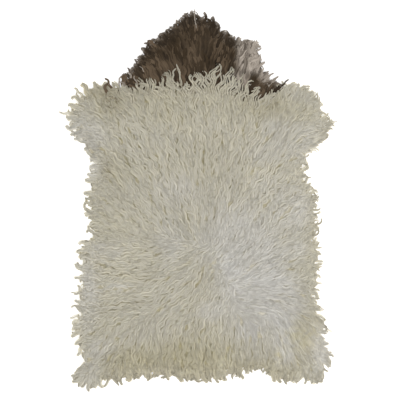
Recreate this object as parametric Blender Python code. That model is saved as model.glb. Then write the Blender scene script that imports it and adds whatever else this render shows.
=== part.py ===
"""Sheepskin rug: one tanned hide with its long, wavy fleece.

The rug lies flat on the floor. The hide is a thin sheet of skin. The fleece is a lumpy slab of wool over it, with
separate locks around its rim that lie level on the floor. Metres, +Z up, the neck towards +Y, and the origin at the
centre of the rug's box, on the floor.
"""

from math import cos, pi, radians, sin

import bmesh
import bpy
import numpy as np
from mathutils import Vector, noise

# The hide and the gap between it and the wool over it
HIDE_THICK = 0.0022
GAP = 0.0003
HIDE_STEP = 0.030  # spacing of the points along the hide's edge

# The slab of wool
SLAB_PAST_HIDE = 0.018  # how far it reaches past the hide's edge
EDGE_UNEVEN = 0.008  # by how much that reach varies
EDGE_LUMPS = 12.0  # the larger, the shorter the lumps along its edge
EDGE_STEP = 0.020  # spacing of the points along its edge
EDGE_HEIGHT = 0.011
CROWN_HEIGHT = 0.036  # its height far from the edge, between the mounds
RISE = 0.036  # distance from the edge over which it gains most of its height
NECK_THINNER = 0.007  # the neck's wool is lower by this much
NECK_FROM = 0.28  # where the neck starts, along Y
NECK_BLEND = 0.08
TOP_STEP = 0.0168  # spacing of the points on its top
TOP_HALF = 0.55  # half the side of the square sheet that its top is cut from

# The mounds that clumps of wool make on its top
WHORL = (0.035, -0.135)  # the place on the back that the wool is combed away from
MOUND_STEP = 0.046
MOUND_SHIFT = 0.3  # how far a mound is moved off its even place, as a share of the step
MOUND_LENGTH = 0.068
MOUND_WIDTH = 0.044
MOUND_HEIGHT = 0.018
MOUND_WAVE = 0.005
MOUND_WAVE_LENGTH = 0.055
TIP_STEEPNESS = 4.5  # how much faster a mound falls at its tip than it rises from its root

# The locks at its rim, three-sided, with one side level on the floor
LOCK_COUNT = 165
LOCK_INSIDE = 0.028  # how far inside the slab's edge a lock starts
LOCK_WIDTH = 0.0200
LOCK_HEIGHT = 0.0170
LOCK_SHORTEST = 0.66  # the shortest lock's reach, as a share of the longest's
LOCK_SLACK = 1.08  # a lock is longer than its reach, because it curls
LOCK_COMBED = 0.5  # how much a lock follows the way the wool is combed, against straight out
LOCK_TURN = radians(26)
LOCK_HOOK = radians(70)
LOCK_SWAY = 0.35
LOCK_SECTIONS = (
    # place along the lock, share of its full width and height
    (0.00, 1.00),
    (0.40, 0.97),
    (0.62, 0.82),
    (0.83, 0.56),
    (1.00, 0.20),
)
SEED = 7

# The hide's edge, clockwise from the neck. Reach is how far the longest locks go past it.
EDGE = (
    # name, x, y, reach
    ("neck tip", -0.014, 0.477, 0.056),
    ("neck tip, right", 0.028, 0.466, 0.050),
    ("neck, upper right", 0.082, 0.417, 0.036),
    ("cheek, right", 0.150, 0.400, 0.046),
    ("neck, lower right", 0.166, 0.332, 0.038),
    ("neck root, right", 0.219, 0.291, 0.042),
    ("foreleg, upper right", 0.275, 0.277, 0.042),
    ("foreleg, right", 0.315, 0.236, 0.044),
    ("foreleg tip, right", 0.330, 0.202, 0.072),
    ("foreleg, lower right", 0.297, 0.148, 0.040),
    ("flank notch, right", 0.260, 0.086, 0.036),
    ("flank, right", 0.271, 0.040, 0.038),
    ("side, upper right", 0.291, -0.022, 0.038),
    ("side, right", 0.291, -0.110, 0.038),
    ("side, lower right", 0.298, -0.198, 0.038),
    ("loin, right", 0.298, -0.285, 0.038),
    ("hip, right", 0.320, -0.366, 0.042),
    ("hind corner, right", 0.320, -0.446, 0.060),
    ("tail edge, right", 0.264, -0.462, 0.046),
    ("tail edge, inner right", 0.150, -0.445, 0.044),
    ("tail", 0.020, -0.458, 0.050),
    ("tail edge, inner left", -0.110, -0.452, 0.046),
    ("tail edge, left", -0.215, -0.455, 0.046),
    ("hind corner, left", -0.288, -0.468, 0.066),
    ("hip, left", -0.290, -0.400, 0.044),
    ("loin, left", -0.306, -0.340, 0.044),
    ("side, lower left", -0.298, -0.240, 0.040),
    ("side, left", -0.290, -0.150, 0.040),
    ("side dip, left", -0.262, -0.090, 0.038),
    ("side, upper left", -0.272, -0.030, 0.038),
    ("flank, left", -0.270, 0.030, 0.038),
    ("flank notch, left", -0.259, 0.086, 0.036),
    ("foreleg, lower left", -0.290, 0.148, 0.040),
    ("foreleg tip, left", -0.328, 0.208, 0.070),
    ("foreleg, left", -0.312, 0.255, 0.050),
    ("foreleg, upper left", -0.270, 0.287, 0.044),
    ("neck root, left", -0.206, 0.290, 0.038),
    ("neck, lower left", -0.168, 0.338, 0.034),
    ("neck, left", -0.128, 0.396, 0.034),
    ("neck, upper left", -0.072, 0.438, 0.036),
)

FINISHES = {
    # node: linear colour, roughness
    "hide": ((0.62, 0.50, 0.36), 0.75),
    "fleece": ((0.58, 0.54, 0.44), 0.95),
}


def smooth_ring(rows, step, parts=12):
    """The closed curve through the rows' points, with a point about every step. Further columns are carried along."""
    nodes = np.array(rows, dtype=float)
    dense = []
    for i in range(len(nodes)):
        before, here, after, beyond = (nodes[(i + k) % len(nodes)] for k in (-1, 0, 1, 2))
        for t in np.linspace(0.0, 1.0, parts, endpoint=False):
            pull = (after - before) * t
            bend = (2 * before - 5 * here + 4 * after - beyond) * t**2
            twist = (3 * here - before - 3 * after + beyond) * t**3
            dense.append(here + (pull + bend + twist) / 2)
    dense = np.array(dense + dense[:1])
    run = np.concatenate(([0.0], np.cumsum(np.linalg.norm(np.diff(dense[:, :2], axis=0), axis=1))))
    marks = np.linspace(0.0, run[-1], round(run[-1] / step), endpoint=False)
    return np.column_stack([np.interp(marks, run, column) for column in dense.T])


def outward(ring):
    """Unit vectors square to a clockwise ring, pointing out of it."""
    along = np.roll(ring[:, :2], -1, axis=0) - np.roll(ring[:, :2], 1, axis=0)
    along /= np.linalg.norm(along, axis=1)[:, None]
    return np.column_stack([-along[:, 1], along[:, 0]])


def slab_ring():
    """The slab's edge: the hide's edge pushed out by a slightly uneven amount, with the locks' reach beside it."""
    ring = smooth_ring([row[1:] for row in EDGE], EDGE_STEP)
    turns = np.arange(len(ring)) * 2 * pi / len(ring)
    lumps = np.array([noise.noise((EDGE_LUMPS * cos(a), EDGE_LUMPS * sin(a), 0.0)) for a in turns])
    push = SLAB_PAST_HIDE + EDGE_UNEVEN * lumps
    return np.column_stack([ring[:, :2] + outward(ring) * push[:, None], ring[:, 2]])


def nearest_on(ring, points):
    """For each point: the closest place on the ring, how far it is, and whether the point is inside the ring."""
    a = ring[None, :, :2]
    b = np.roll(ring[:, :2], -1, axis=0)[None]
    p = points[:, None, :]
    share = np.clip(((p - a) * (b - a)).sum(2) / ((b - a) ** 2).sum(2), 0.0, 1.0)
    foot = a + share[..., None] * (b - a)
    distance = np.linalg.norm(p - foot, axis=2)
    closest = distance.argmin(1)
    crosses = (a[..., 1] > p[..., 1]) != (b[..., 1] > p[..., 1])
    rise = np.where(crosses, b[..., 1] - a[..., 1], 1.0)
    crossing = a[..., 0] + (p[..., 1] - a[..., 1]) * (b[..., 0] - a[..., 0]) / rise
    inside = (crosses & (p[..., 0] < crossing)).sum(1) % 2 == 1
    rows = np.arange(len(points))
    return foot[rows, closest], distance[rows, closest], inside


def combed(points):
    """The way the wool is combed at each point: away from the whorl, and up the neck."""
    way = points - np.array(WHORL)
    way /= np.maximum(np.linalg.norm(way, axis=1), 0.001)[:, None]
    way[:, 1] += np.clip((points[:, 1] - NECK_FROM) / NECK_BLEND, 0.0, 1.0) * 0.8
    return way / np.linalg.norm(way, axis=1)[:, None]


def mounds(points, rng):
    """The height that overlapping clumps of wool add at each point, like long shingles with rounded tips."""
    columns = np.arange(-9, 10)
    rows = np.arange(-13, 14)
    columns, rows = np.meshgrid(columns, rows)
    centres = np.column_stack([(columns + 0.5 * (rows % 2)).ravel(), (rows * 0.87).ravel()])
    centres = (centres + rng.uniform(-MOUND_SHIFT, MOUND_SHIFT, centres.shape)) * MOUND_STEP
    ways = combed(centres)
    tall = rng.uniform(0.55, 1.0, len(centres))
    phase = rng.uniform(0.0, 2 * pi, len(centres))
    offset = points[:, None, :] - centres[None]
    along = (offset * ways[None]).sum(2)
    across = offset[..., 1] * ways[None, :, 0] - offset[..., 0] * ways[None, :, 1]
    across = across + MOUND_WAVE * np.sin(2 * pi * along / MOUND_WAVE_LENGTH + phase[None])
    place = along / MOUND_LENGTH + 0.5  # 0 at the clump's root, 1 at its tip
    lift = np.clip(np.minimum(0.25 + place, (1.0 - place) * TIP_STEEPNESS), 0.0, 1.0)
    roundness = np.clip(1.0 - (2 * across / MOUND_WIDTH) ** 2, 0.0, 1.0)
    return (lift * roundness * tall[None]).max(1) * MOUND_HEIGHT


def new_object(name, mesh, collection):
    piece = bpy.data.objects.new(name, mesh)
    collection.objects.link(piece)
    return piece


def mesh_from(bm, name):
    mesh = bpy.data.meshes.new(name)
    bm.to_mesh(mesh)
    bm.free()
    return mesh


def plate(name, ring, bottom, top, collection):
    """A flat plate with the ring's outline, from a filled curve."""
    outline = bpy.data.curves.new(name + " outline", "CURVE")
    outline.dimensions = "2D"
    outline.fill_mode = "BOTH"
    outline.extrude = (top - bottom) / 2
    line = outline.splines.new("POLY")
    line.points.add(len(ring) - 1)
    for point, (x, y) in zip(line.points, ring[:, :2]):
        point.co = (x, y, 0.0, 1.0)
    line.use_cyclic_u = True
    guide = new_object(name + " outline", outline, collection)
    graph = bpy.context.evaluated_depsgraph_get()
    bm = bmesh.new()
    bm.from_mesh(bpy.data.meshes.new_from_object(guide.evaluated_get(graph)))
    bmesh.ops.remove_doubles(bm, verts=bm.verts, dist=0.00001)
    bmesh.ops.translate(bm, verts=bm.verts, vec=(0.0, 0.0, (top + bottom) / 2))
    bpy.data.objects.remove(guide)
    return new_object(name, mesh_from(bm, name), collection)


def cut_top(bm, ring):
    """A sheet of even triangles, trimmed to the ring and drawn out to it."""
    columns = round(2 * TOP_HALF / TOP_STEP)
    bmesh.ops.create_grid(bm, x_segments=columns, y_segments=round(columns / 0.87), size=TOP_HALF)
    levels = sorted({round(v.co.y, 5) for v in bm.verts})
    shifted = set(levels[1::2])
    for v in bm.verts:
        if round(v.co.y, 5) in shifted:
            v.co.x += TOP_STEP / 2
    bmesh.ops.triangulate(bm, faces=bm.faces, quad_method="SHORT_EDGE")

    _, distance, inside = nearest_on(ring, np.array([v.co[:2] for v in bm.verts]))
    past = np.where(inside, -distance, distance)
    beyond = [v for v, far in zip(bm.verts, past) if far > 0.45 * TOP_STEP]
    bmesh.ops.delete(bm, geom=beyond, context="VERTS")
    bmesh.ops.delete(bm, geom=[v for v in bm.verts if not v.link_faces], context="VERTS")

    rim = [v for v in bm.verts if v.is_boundary]
    feet, _, _ = nearest_on(ring, np.array([v.co[:2] for v in rim]))
    for v, foot in zip(rim, feet):
        v.co.xy = foot
    inner = [v for v in bm.verts if not v.is_boundary]
    for _ in range(2):
        bmesh.ops.smooth_vert(bm, verts=inner, factor=0.5, use_axis_x=True, use_axis_y=True)


def raise_top(bm, ring, rng):
    """Lifts the sheet to the height of the wool: low at the edge, full inside it, with the mounds on it."""
    points = np.array([v.co[:2] for v in bm.verts])
    _, distance, _ = nearest_on(ring, points)
    fullness = 1.0 - np.exp(-distance / RISE)
    thinner = NECK_THINNER * np.clip((points[:, 1] - NECK_FROM) / NECK_BLEND, 0.0, 1.0)
    height = EDGE_HEIGHT + (CROWN_HEIGHT - EDGE_HEIGHT - thinner) * fullness
    height += mounds(points, rng) * np.clip(0.35 + distance / RISE, 0.0, 1.0)
    for v, z in zip(bm.verts, height):
        v.co.z = z


def slab(ring, rng, collection):
    """The slab of wool: a lumpy top over a flat underside, with the ring as its edge."""
    bm = bmesh.new()
    cut_top(bm, ring)
    raise_top(bm, ring, rng)
    skirt = bmesh.ops.extrude_edge_only(bm, edges=[e for e in bm.edges if e.is_boundary])["geom"]
    for v in (g for g in skirt if isinstance(g, bmesh.types.BMVert)):
        v.co.z = 0.0
    bmesh.ops.holes_fill(bm, edges=[e for e in bm.edges if e.is_boundary])
    bmesh.ops.recalc_face_normals(bm, faces=bm.faces)
    return new_object("fleece", mesh_from(bm, "fleece"), collection)


def rim_lock(bm, root, heading, length, hook, sway):
    """One lock, drawn out section by section from its root to its curled tip."""
    place = Vector((root[0], root[1], 0.0))
    root_face = None
    done = 0.0
    for station, share in LOCK_SECTIONS:
        bend = heading + hook * station**2 + sway * sin(2 * pi * station)
        place = place + Vector((cos(bend), sin(bend), 0.0)) * (station - done) * length
        side = Vector((-sin(bend), cos(bend), 0.0)) * LOCK_WIDTH * share / 2
        crest = Vector((0.0, 0.0, LOCK_HEIGHT * share))
        corners = (place - side, place + side, place + crest)
        if root_face is None:
            root_face = tip_face = bm.faces.new([bm.verts.new(c) for c in corners])
        else:
            last_face = tip_face
            made = bmesh.ops.extrude_face_region(bm, geom=[last_face])["geom"]
            tip_face = next(g for g in made if isinstance(g, bmesh.types.BMFace))
            for v in tip_face.verts:
                nearest = min(range(3), key=lambda k: (v.co - before[k]).length)
                v.co = corners[nearest]
            if last_face is not root_face:
                bmesh.ops.delete(bm, geom=[last_face], context="FACES_ONLY")
        before = corners
        done = station


def rim_locks(ring, rng, collection):
    """All the locks around the slab's edge, each a little unlike its neighbours."""
    bm = bmesh.new()
    ways = combed(ring[:, :2])
    square = outward(ring)
    for i in range(LOCK_COUNT):
        at = (i + rng.uniform(-0.3, 0.3)) * len(ring) / LOCK_COUNT
        low = int(at // 1) % len(ring)
        high = (low + 1) % len(ring)
        edge = ring[low] + (ring[high] - ring[low]) * (at % 1)
        way = square[low] + (square[high] - square[low]) * (at % 1) + LOCK_COMBED * ways[low]
        way /= np.linalg.norm(way)
        reach = edge[2] * rng.uniform(LOCK_SHORTEST, 1.0)
        length = LOCK_INSIDE - SLAB_PAST_HIDE + reach * LOCK_SLACK
        turn = rng.uniform(-1.0, 1.0) * LOCK_TURN
        hook = rng.choice((-1.0, 1.0)) * rng.uniform(0.2, 1.0) * LOCK_HOOK
        sway = rng.uniform(-1.0, 1.0) * LOCK_SWAY
        heading = np.arctan2(way[1], way[0]) + turn - hook / 3
        rim_lock(bm, edge[:2] - LOCK_INSIDE * way, heading, length, hook, sway)
    bmesh.ops.recalc_face_normals(bm, faces=bm.faces)
    return new_object("rim locks", mesh_from(bm, "rim locks"), collection)


def add_boolean(piece, other, operation, self_crossing=False):
    """Joins the other piece to this one, or cuts it away, and keeps the other as a guide."""
    step = piece.modifiers.new(other.name, "BOOLEAN")
    step.operation = operation
    step.solver = "EXACT"
    step.object = other
    step.use_self = self_crossing
    other.hide_render = True
    other.display_type = "WIRE"


def give_finish(piece):
    colour, roughness = FINISHES[piece.name]
    finish = bpy.data.materials.new(piece.name)
    finish.use_nodes = True
    shader = next(n for n in finish.node_tree.nodes if n.type == "BSDF_PRINCIPLED")
    shader.inputs["Base Color"].default_value = (*colour, 1.0)
    shader.inputs["Roughness"].default_value = roughness
    shader.inputs["Metallic"].default_value = 0.0
    piece.data.materials.append(finish)


def centre_on_origin(fleece, pieces, collection):
    """Hangs every piece from an empty that puts the centre of the rug's box over the origin."""
    graph = bpy.context.evaluated_depsgraph_get()
    corners = np.array([v.co[:] for v in fleece.evaluated_get(graph).data.vertices])
    centre = (corners.min(0) + corners.max(0)) / 2
    origin = bpy.data.objects.new("rug origin", None)
    collection.objects.link(origin)
    origin.location = (-centre[0], -centre[1], 0.0)
    for piece in pieces:
        piece.parent = origin


def main():
    for old in list(bpy.data.objects):
        bpy.data.objects.remove(old)
    rug = bpy.data.collections.new("sheepskin rug")
    cutters = bpy.data.collections.new("rug cutters")
    for collection in (rug, cutters):
        bpy.context.scene.collection.children.link(collection)

    rng = np.random.default_rng(SEED)
    hide_ring = smooth_ring([row[1:3] for row in EDGE], HIDE_STEP)
    wool_ring = slab_ring()
    hide = plate("hide", hide_ring, 0.0, HIDE_THICK, rug)
    fleece = slab(wool_ring, rng, rug)
    locks = rim_locks(wool_ring, rng, cutters)
    room_ring = hide_ring + outward(hide_ring) * GAP
    room = plate("room for the hide", room_ring, -HIDE_THICK, HIDE_THICK + GAP, cutters)
    add_boolean(fleece, locks, "UNION", self_crossing=True)
    add_boolean(fleece, room, "DIFFERENCE")
    for piece in (hide, fleece):
        give_finish(piece)
    centre_on_origin(fleece, (hide, fleece, locks, room), rug)


main()
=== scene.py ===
"""Sheepskin rug, dressed: the tanned hide, the underwool on it, and the long wavy wool in strands.

Laid out as an add-on with one operator for each group of pieces. Everything is in metres, with +Z up, the
neck towards +Y and the floor at 0.
"""

from math import radians, tau

import bmesh
import bpy
import numpy as np
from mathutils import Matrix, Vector, noise
from mathutils.bvhtree import BVHTree


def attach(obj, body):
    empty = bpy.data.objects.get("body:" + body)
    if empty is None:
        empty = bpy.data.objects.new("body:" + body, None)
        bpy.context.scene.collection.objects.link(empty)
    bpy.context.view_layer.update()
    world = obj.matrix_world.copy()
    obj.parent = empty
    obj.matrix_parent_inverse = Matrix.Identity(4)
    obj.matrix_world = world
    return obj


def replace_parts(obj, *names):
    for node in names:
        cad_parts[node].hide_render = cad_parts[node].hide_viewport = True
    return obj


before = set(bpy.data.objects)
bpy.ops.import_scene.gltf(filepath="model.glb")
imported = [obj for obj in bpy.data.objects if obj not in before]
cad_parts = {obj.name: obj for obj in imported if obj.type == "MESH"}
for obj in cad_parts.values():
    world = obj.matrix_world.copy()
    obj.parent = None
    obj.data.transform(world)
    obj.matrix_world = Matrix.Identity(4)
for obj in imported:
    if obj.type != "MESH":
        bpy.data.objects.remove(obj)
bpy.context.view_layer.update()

bl_info = {
    "name": "Sheepskin rug",
    "version": (1, 0, 0),
    "blender": (4, 5, 0),
    "location": "3D View > Sidebar > Rug",
    "description": "Builds the hide, the underwool and the wavy wool of a sheepskin rug",
    "category": "Add Mesh",
}

# The wool's edge as seen from above, clockwise from the neck's tip, without the thin tips that pass it
WOOL_EDGE = (
    # stretch, then its points: x, y
    ("neck tip", (-0.020, 0.520), (0.005, 0.505), (0.045, 0.500), (0.060, 0.475)),
    ("neck, right", (0.100, 0.450), (0.150, 0.445), (0.170, 0.415), (0.175, 0.380)),
    ("cheek, right", (0.190, 0.350), (0.215, 0.325)),
    ("right foreleg, upper", (0.260, 0.320), (0.290, 0.313), (0.320, 0.300), (0.335, 0.270), (0.353, 0.235)),
    ("right foreleg, tip", (0.366, 0.215), (0.361, 0.198), (0.345, 0.170), (0.325, 0.145)),
    ("right flank", (0.300, 0.130), (0.289, 0.108), (0.296, 0.085), (0.302, 0.048), (0.318, 0.026)),
    ("right side", (0.326, -0.010), (0.326, -0.056), (0.325, -0.110), (0.335, -0.160), (0.331, -0.200)),
    ("right loin", (0.327, -0.247), (0.331, -0.297), (0.348, -0.335), (0.359, -0.392)),
    ("right hind corner", (0.365, -0.436), (0.350, -0.465), (0.324, -0.499), (0.280, -0.490)),
    ("tail edge, right", (0.230, -0.490), (0.192, -0.474), (0.150, -0.463), (0.110, -0.472), (0.066, -0.483)),
    ("tail edge", (0.020, -0.488), (-0.021, -0.485), (-0.060, -0.480), (-0.104, -0.475)),
    ("tail edge, left", (-0.155, -0.482), (-0.191, -0.491), (-0.218, -0.494), (-0.240, -0.475)),
    ("left hind corner", (-0.257, -0.500), (-0.284, -0.506), (-0.311, -0.500)),
    ("left hind corner, outer", (-0.334, -0.480), (-0.326, -0.460)),
    ("left hip", (-0.300, -0.448), (-0.303, -0.414), (-0.322, -0.390), (-0.332, -0.350), (-0.321, -0.310)),
    ("left side", (-0.326, -0.264), (-0.317, -0.190), (-0.316, -0.146), (-0.302, -0.105), (-0.290, -0.067)),
    ("left flank", (-0.300, -0.018), (-0.298, 0.026), (-0.290, 0.080), (-0.291, 0.127)),
    ("left foreleg, lower", (-0.310, 0.152), (-0.332, 0.183)),
    ("left foreleg, tip", (-0.344, 0.212), (-0.338, 0.248), (-0.326, 0.276)),
    ("left foreleg, upper", (-0.303, 0.291), (-0.275, 0.312), (-0.240, 0.318), (-0.219, 0.313)),
    ("neck, left", (-0.193, 0.351), (-0.172, 0.381), (-0.155, 0.412), (-0.136, 0.436), (-0.107, 0.450)),
    ("neck, upper left", (-0.081, 0.477), (-0.050, 0.504)),
)
EDGE_POINTS = [point for stretch in WOOL_EDGE for point in stretch[1:]]

# The line on the skin between the cream wool and the brown wool of the neck, from left to right: x, y
BROWN_FROM = (
    (-0.260, 0.335), (-0.235, 0.312), (-0.199, 0.300), (-0.131, 0.292), (-0.062, 0.302),
    (0.006, 0.300), (0.060, 0.300), (0.102, 0.282), (0.148, 0.262), (0.184, 0.266),
    (0.214, 0.297), (0.241, 0.322),
)

# How far up over the brown the cream wool's long locks reach, from left to right: x, y
BORDER_TOPS = (
    (-0.191, 0.327), (-0.158, 0.340), (-0.131, 0.346), (-0.104, 0.343), (-0.082, 0.360),
    (-0.065, 0.378), (-0.046, 0.346), (-0.022, 0.344), (0.003, 0.371), (0.028, 0.379),
    (0.050, 0.373), (0.072, 0.374), (0.093, 0.365), (0.115, 0.343), (0.143, 0.326),
    (0.175, 0.314), (0.205, 0.310),
)

# The way the wool is combed, and how wavy it is there, against 1 for the back
COMBING = (
    # place, x, y, heading in degrees from +X, waviness
    ("neck tip", -0.022, 0.496, 97, 0.6),
    ("neck, upper left", -0.090, 0.442, 108, 0.6),
    ("neck, left edge", -0.145, 0.392, 125, 0.7),
    ("neck, middle", -0.022, 0.414, 98, 0.5),
    ("neck, upper right", 0.074, 0.442, 74, 0.6),
    ("neck, right edge", 0.156, 0.414, 60, 0.6),
    ("neck, right", 0.115, 0.381, 62, 0.5),
    ("cheek, right", 0.175, 0.346, 48, 0.6),
    ("neck root, left edge", -0.200, 0.319, 120, 1.0),
    ("neck root, left", -0.118, 0.319, 108, 1.2),
    ("neck root, middle", -0.008, 0.319, 95, 1.3),
    ("neck root, right", 0.101, 0.310, 72, 1.2),
    ("neck root, right edge", 0.210, 0.291, 58, 0.9),
    ("left foreleg, upper", -0.282, 0.300, 118, 1.0),
    ("left foreleg, tip", -0.350, 0.228, 170, 1.0),
    ("left foreleg, middle", -0.290, 0.217, 138, 0.9),
    ("left foreleg, lower", -0.309, 0.163, 146, 0.3),
    ("left shoulder", -0.213, 0.217, 118, 0.9),
    ("left shoulder, lower", -0.213, 0.155, 128, 1.1),
    ("withers, left", -0.104, 0.217, 103, 1.0),
    ("withers", -0.008, 0.209, 93, 1.1),
    ("withers, right", 0.101, 0.223, 80, 1.1),
    ("right shoulder", 0.197, 0.223, 68, 0.7),
    ("right foreleg, upper", 0.279, 0.264, 52, 0.6),
    ("right foreleg, tip", 0.347, 0.217, 25, 0.7),
    ("right foreleg, lower", 0.306, 0.168, 15, 0.6),
    ("right shoulder, lower", 0.224, 0.155, 55, 0.6),
    ("left flank", -0.268, 0.073, 140, 0.95),
    ("left ribs", -0.186, 0.059, 118, 0.85),
    ("spine, upper left", -0.090, 0.059, 108, 1.0),
    ("spine, upper", -0.008, 0.059, 95, 0.85),
    ("right ribs, upper", 0.087, 0.059, 70, 0.85),
    ("right ribs, outer", 0.175, 0.059, 52, 1.1),
    ("right flank", 0.265, 0.059, 36, 1.1),
    ("left side, upper", -0.282, -0.056, 145, 0.95),
    ("left ribs, lower", -0.159, -0.056, 132, 0.85),
    ("spine, left of the middle", -0.055, -0.056, 118, 0.7),
    ("spine, right of the middle", 0.033, -0.056, 84, 0.7),
    ("right ribs, lower", 0.142, -0.056, 61, 0.8),
    ("right side, upper", 0.279, -0.056, 32, 0.9),
    ("left side", -0.295, -0.165, 162, 1.1),
    ("back, left", -0.186, -0.165, 176, 1.0),
    ("left of the parting", -0.063, -0.165, 198, 0.8),
    ("below the parting", 0.019, -0.182, 240, 0.8),
    ("right of the parting", 0.101, -0.155, 42, 0.6),
    ("back, right", 0.197, -0.160, 31, 0.7),
    ("right side", 0.306, -0.160, 20, 0.9),
    ("left side, lower", -0.301, -0.275, 172, 1.1),
    ("loin, left", -0.186, -0.275, 182, 1.0),
    ("loin", -0.063, -0.275, 216, 0.8),
    ("loin, middle", 0.046, -0.275, 236, 0.9),
    ("loin, right", 0.156, -0.270, 355, 0.45),
    ("right side, lower", 0.292, -0.275, 338, 0.5),
    ("left hip", -0.309, -0.379, 205, 1.0),
    ("left hind leg", -0.227, -0.379, 238, 0.8),
    ("rump, left", -0.118, -0.379, 258, 0.8),
    ("rump", 0.019, -0.379, 265, 0.9),
    ("rump, right", 0.156, -0.373, 272, 0.5),
    ("right hind leg", 0.265, -0.365, 295, 0.3),
    ("right hip", 0.333, -0.379, 320, 0.4),
    ("left hind corner", -0.300, -0.482, 222, 0.7),
    ("tail edge, left", -0.186, -0.466, 265, 0.9),
    ("tail", 0.005, -0.466, 275, 1.0),
    ("tail edge, right", 0.183, -0.460, 270, 0.8),
    ("right hind corner", 0.320, -0.475, 290, 0.5),
)
# The parting on the back that the wool is combed away from, from end to end. The underwool shows there, so it
# is fuller and gets less painted shade, less and less up to this far around it.
PARTING = ((-0.020, -0.130), (0.150, -0.265))
PARTING_REACH = 0.080
PARTING_UNDER_SHARE = 0.97  # height of the underwool on the parting, as a share of the fleece
PARTING_LESS_SHADE = 0.6  # how much less painted crevice shade its colour gets there
COMBING_SPREAD = 0.030  # how far around its own place a row of the table rules alone

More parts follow.
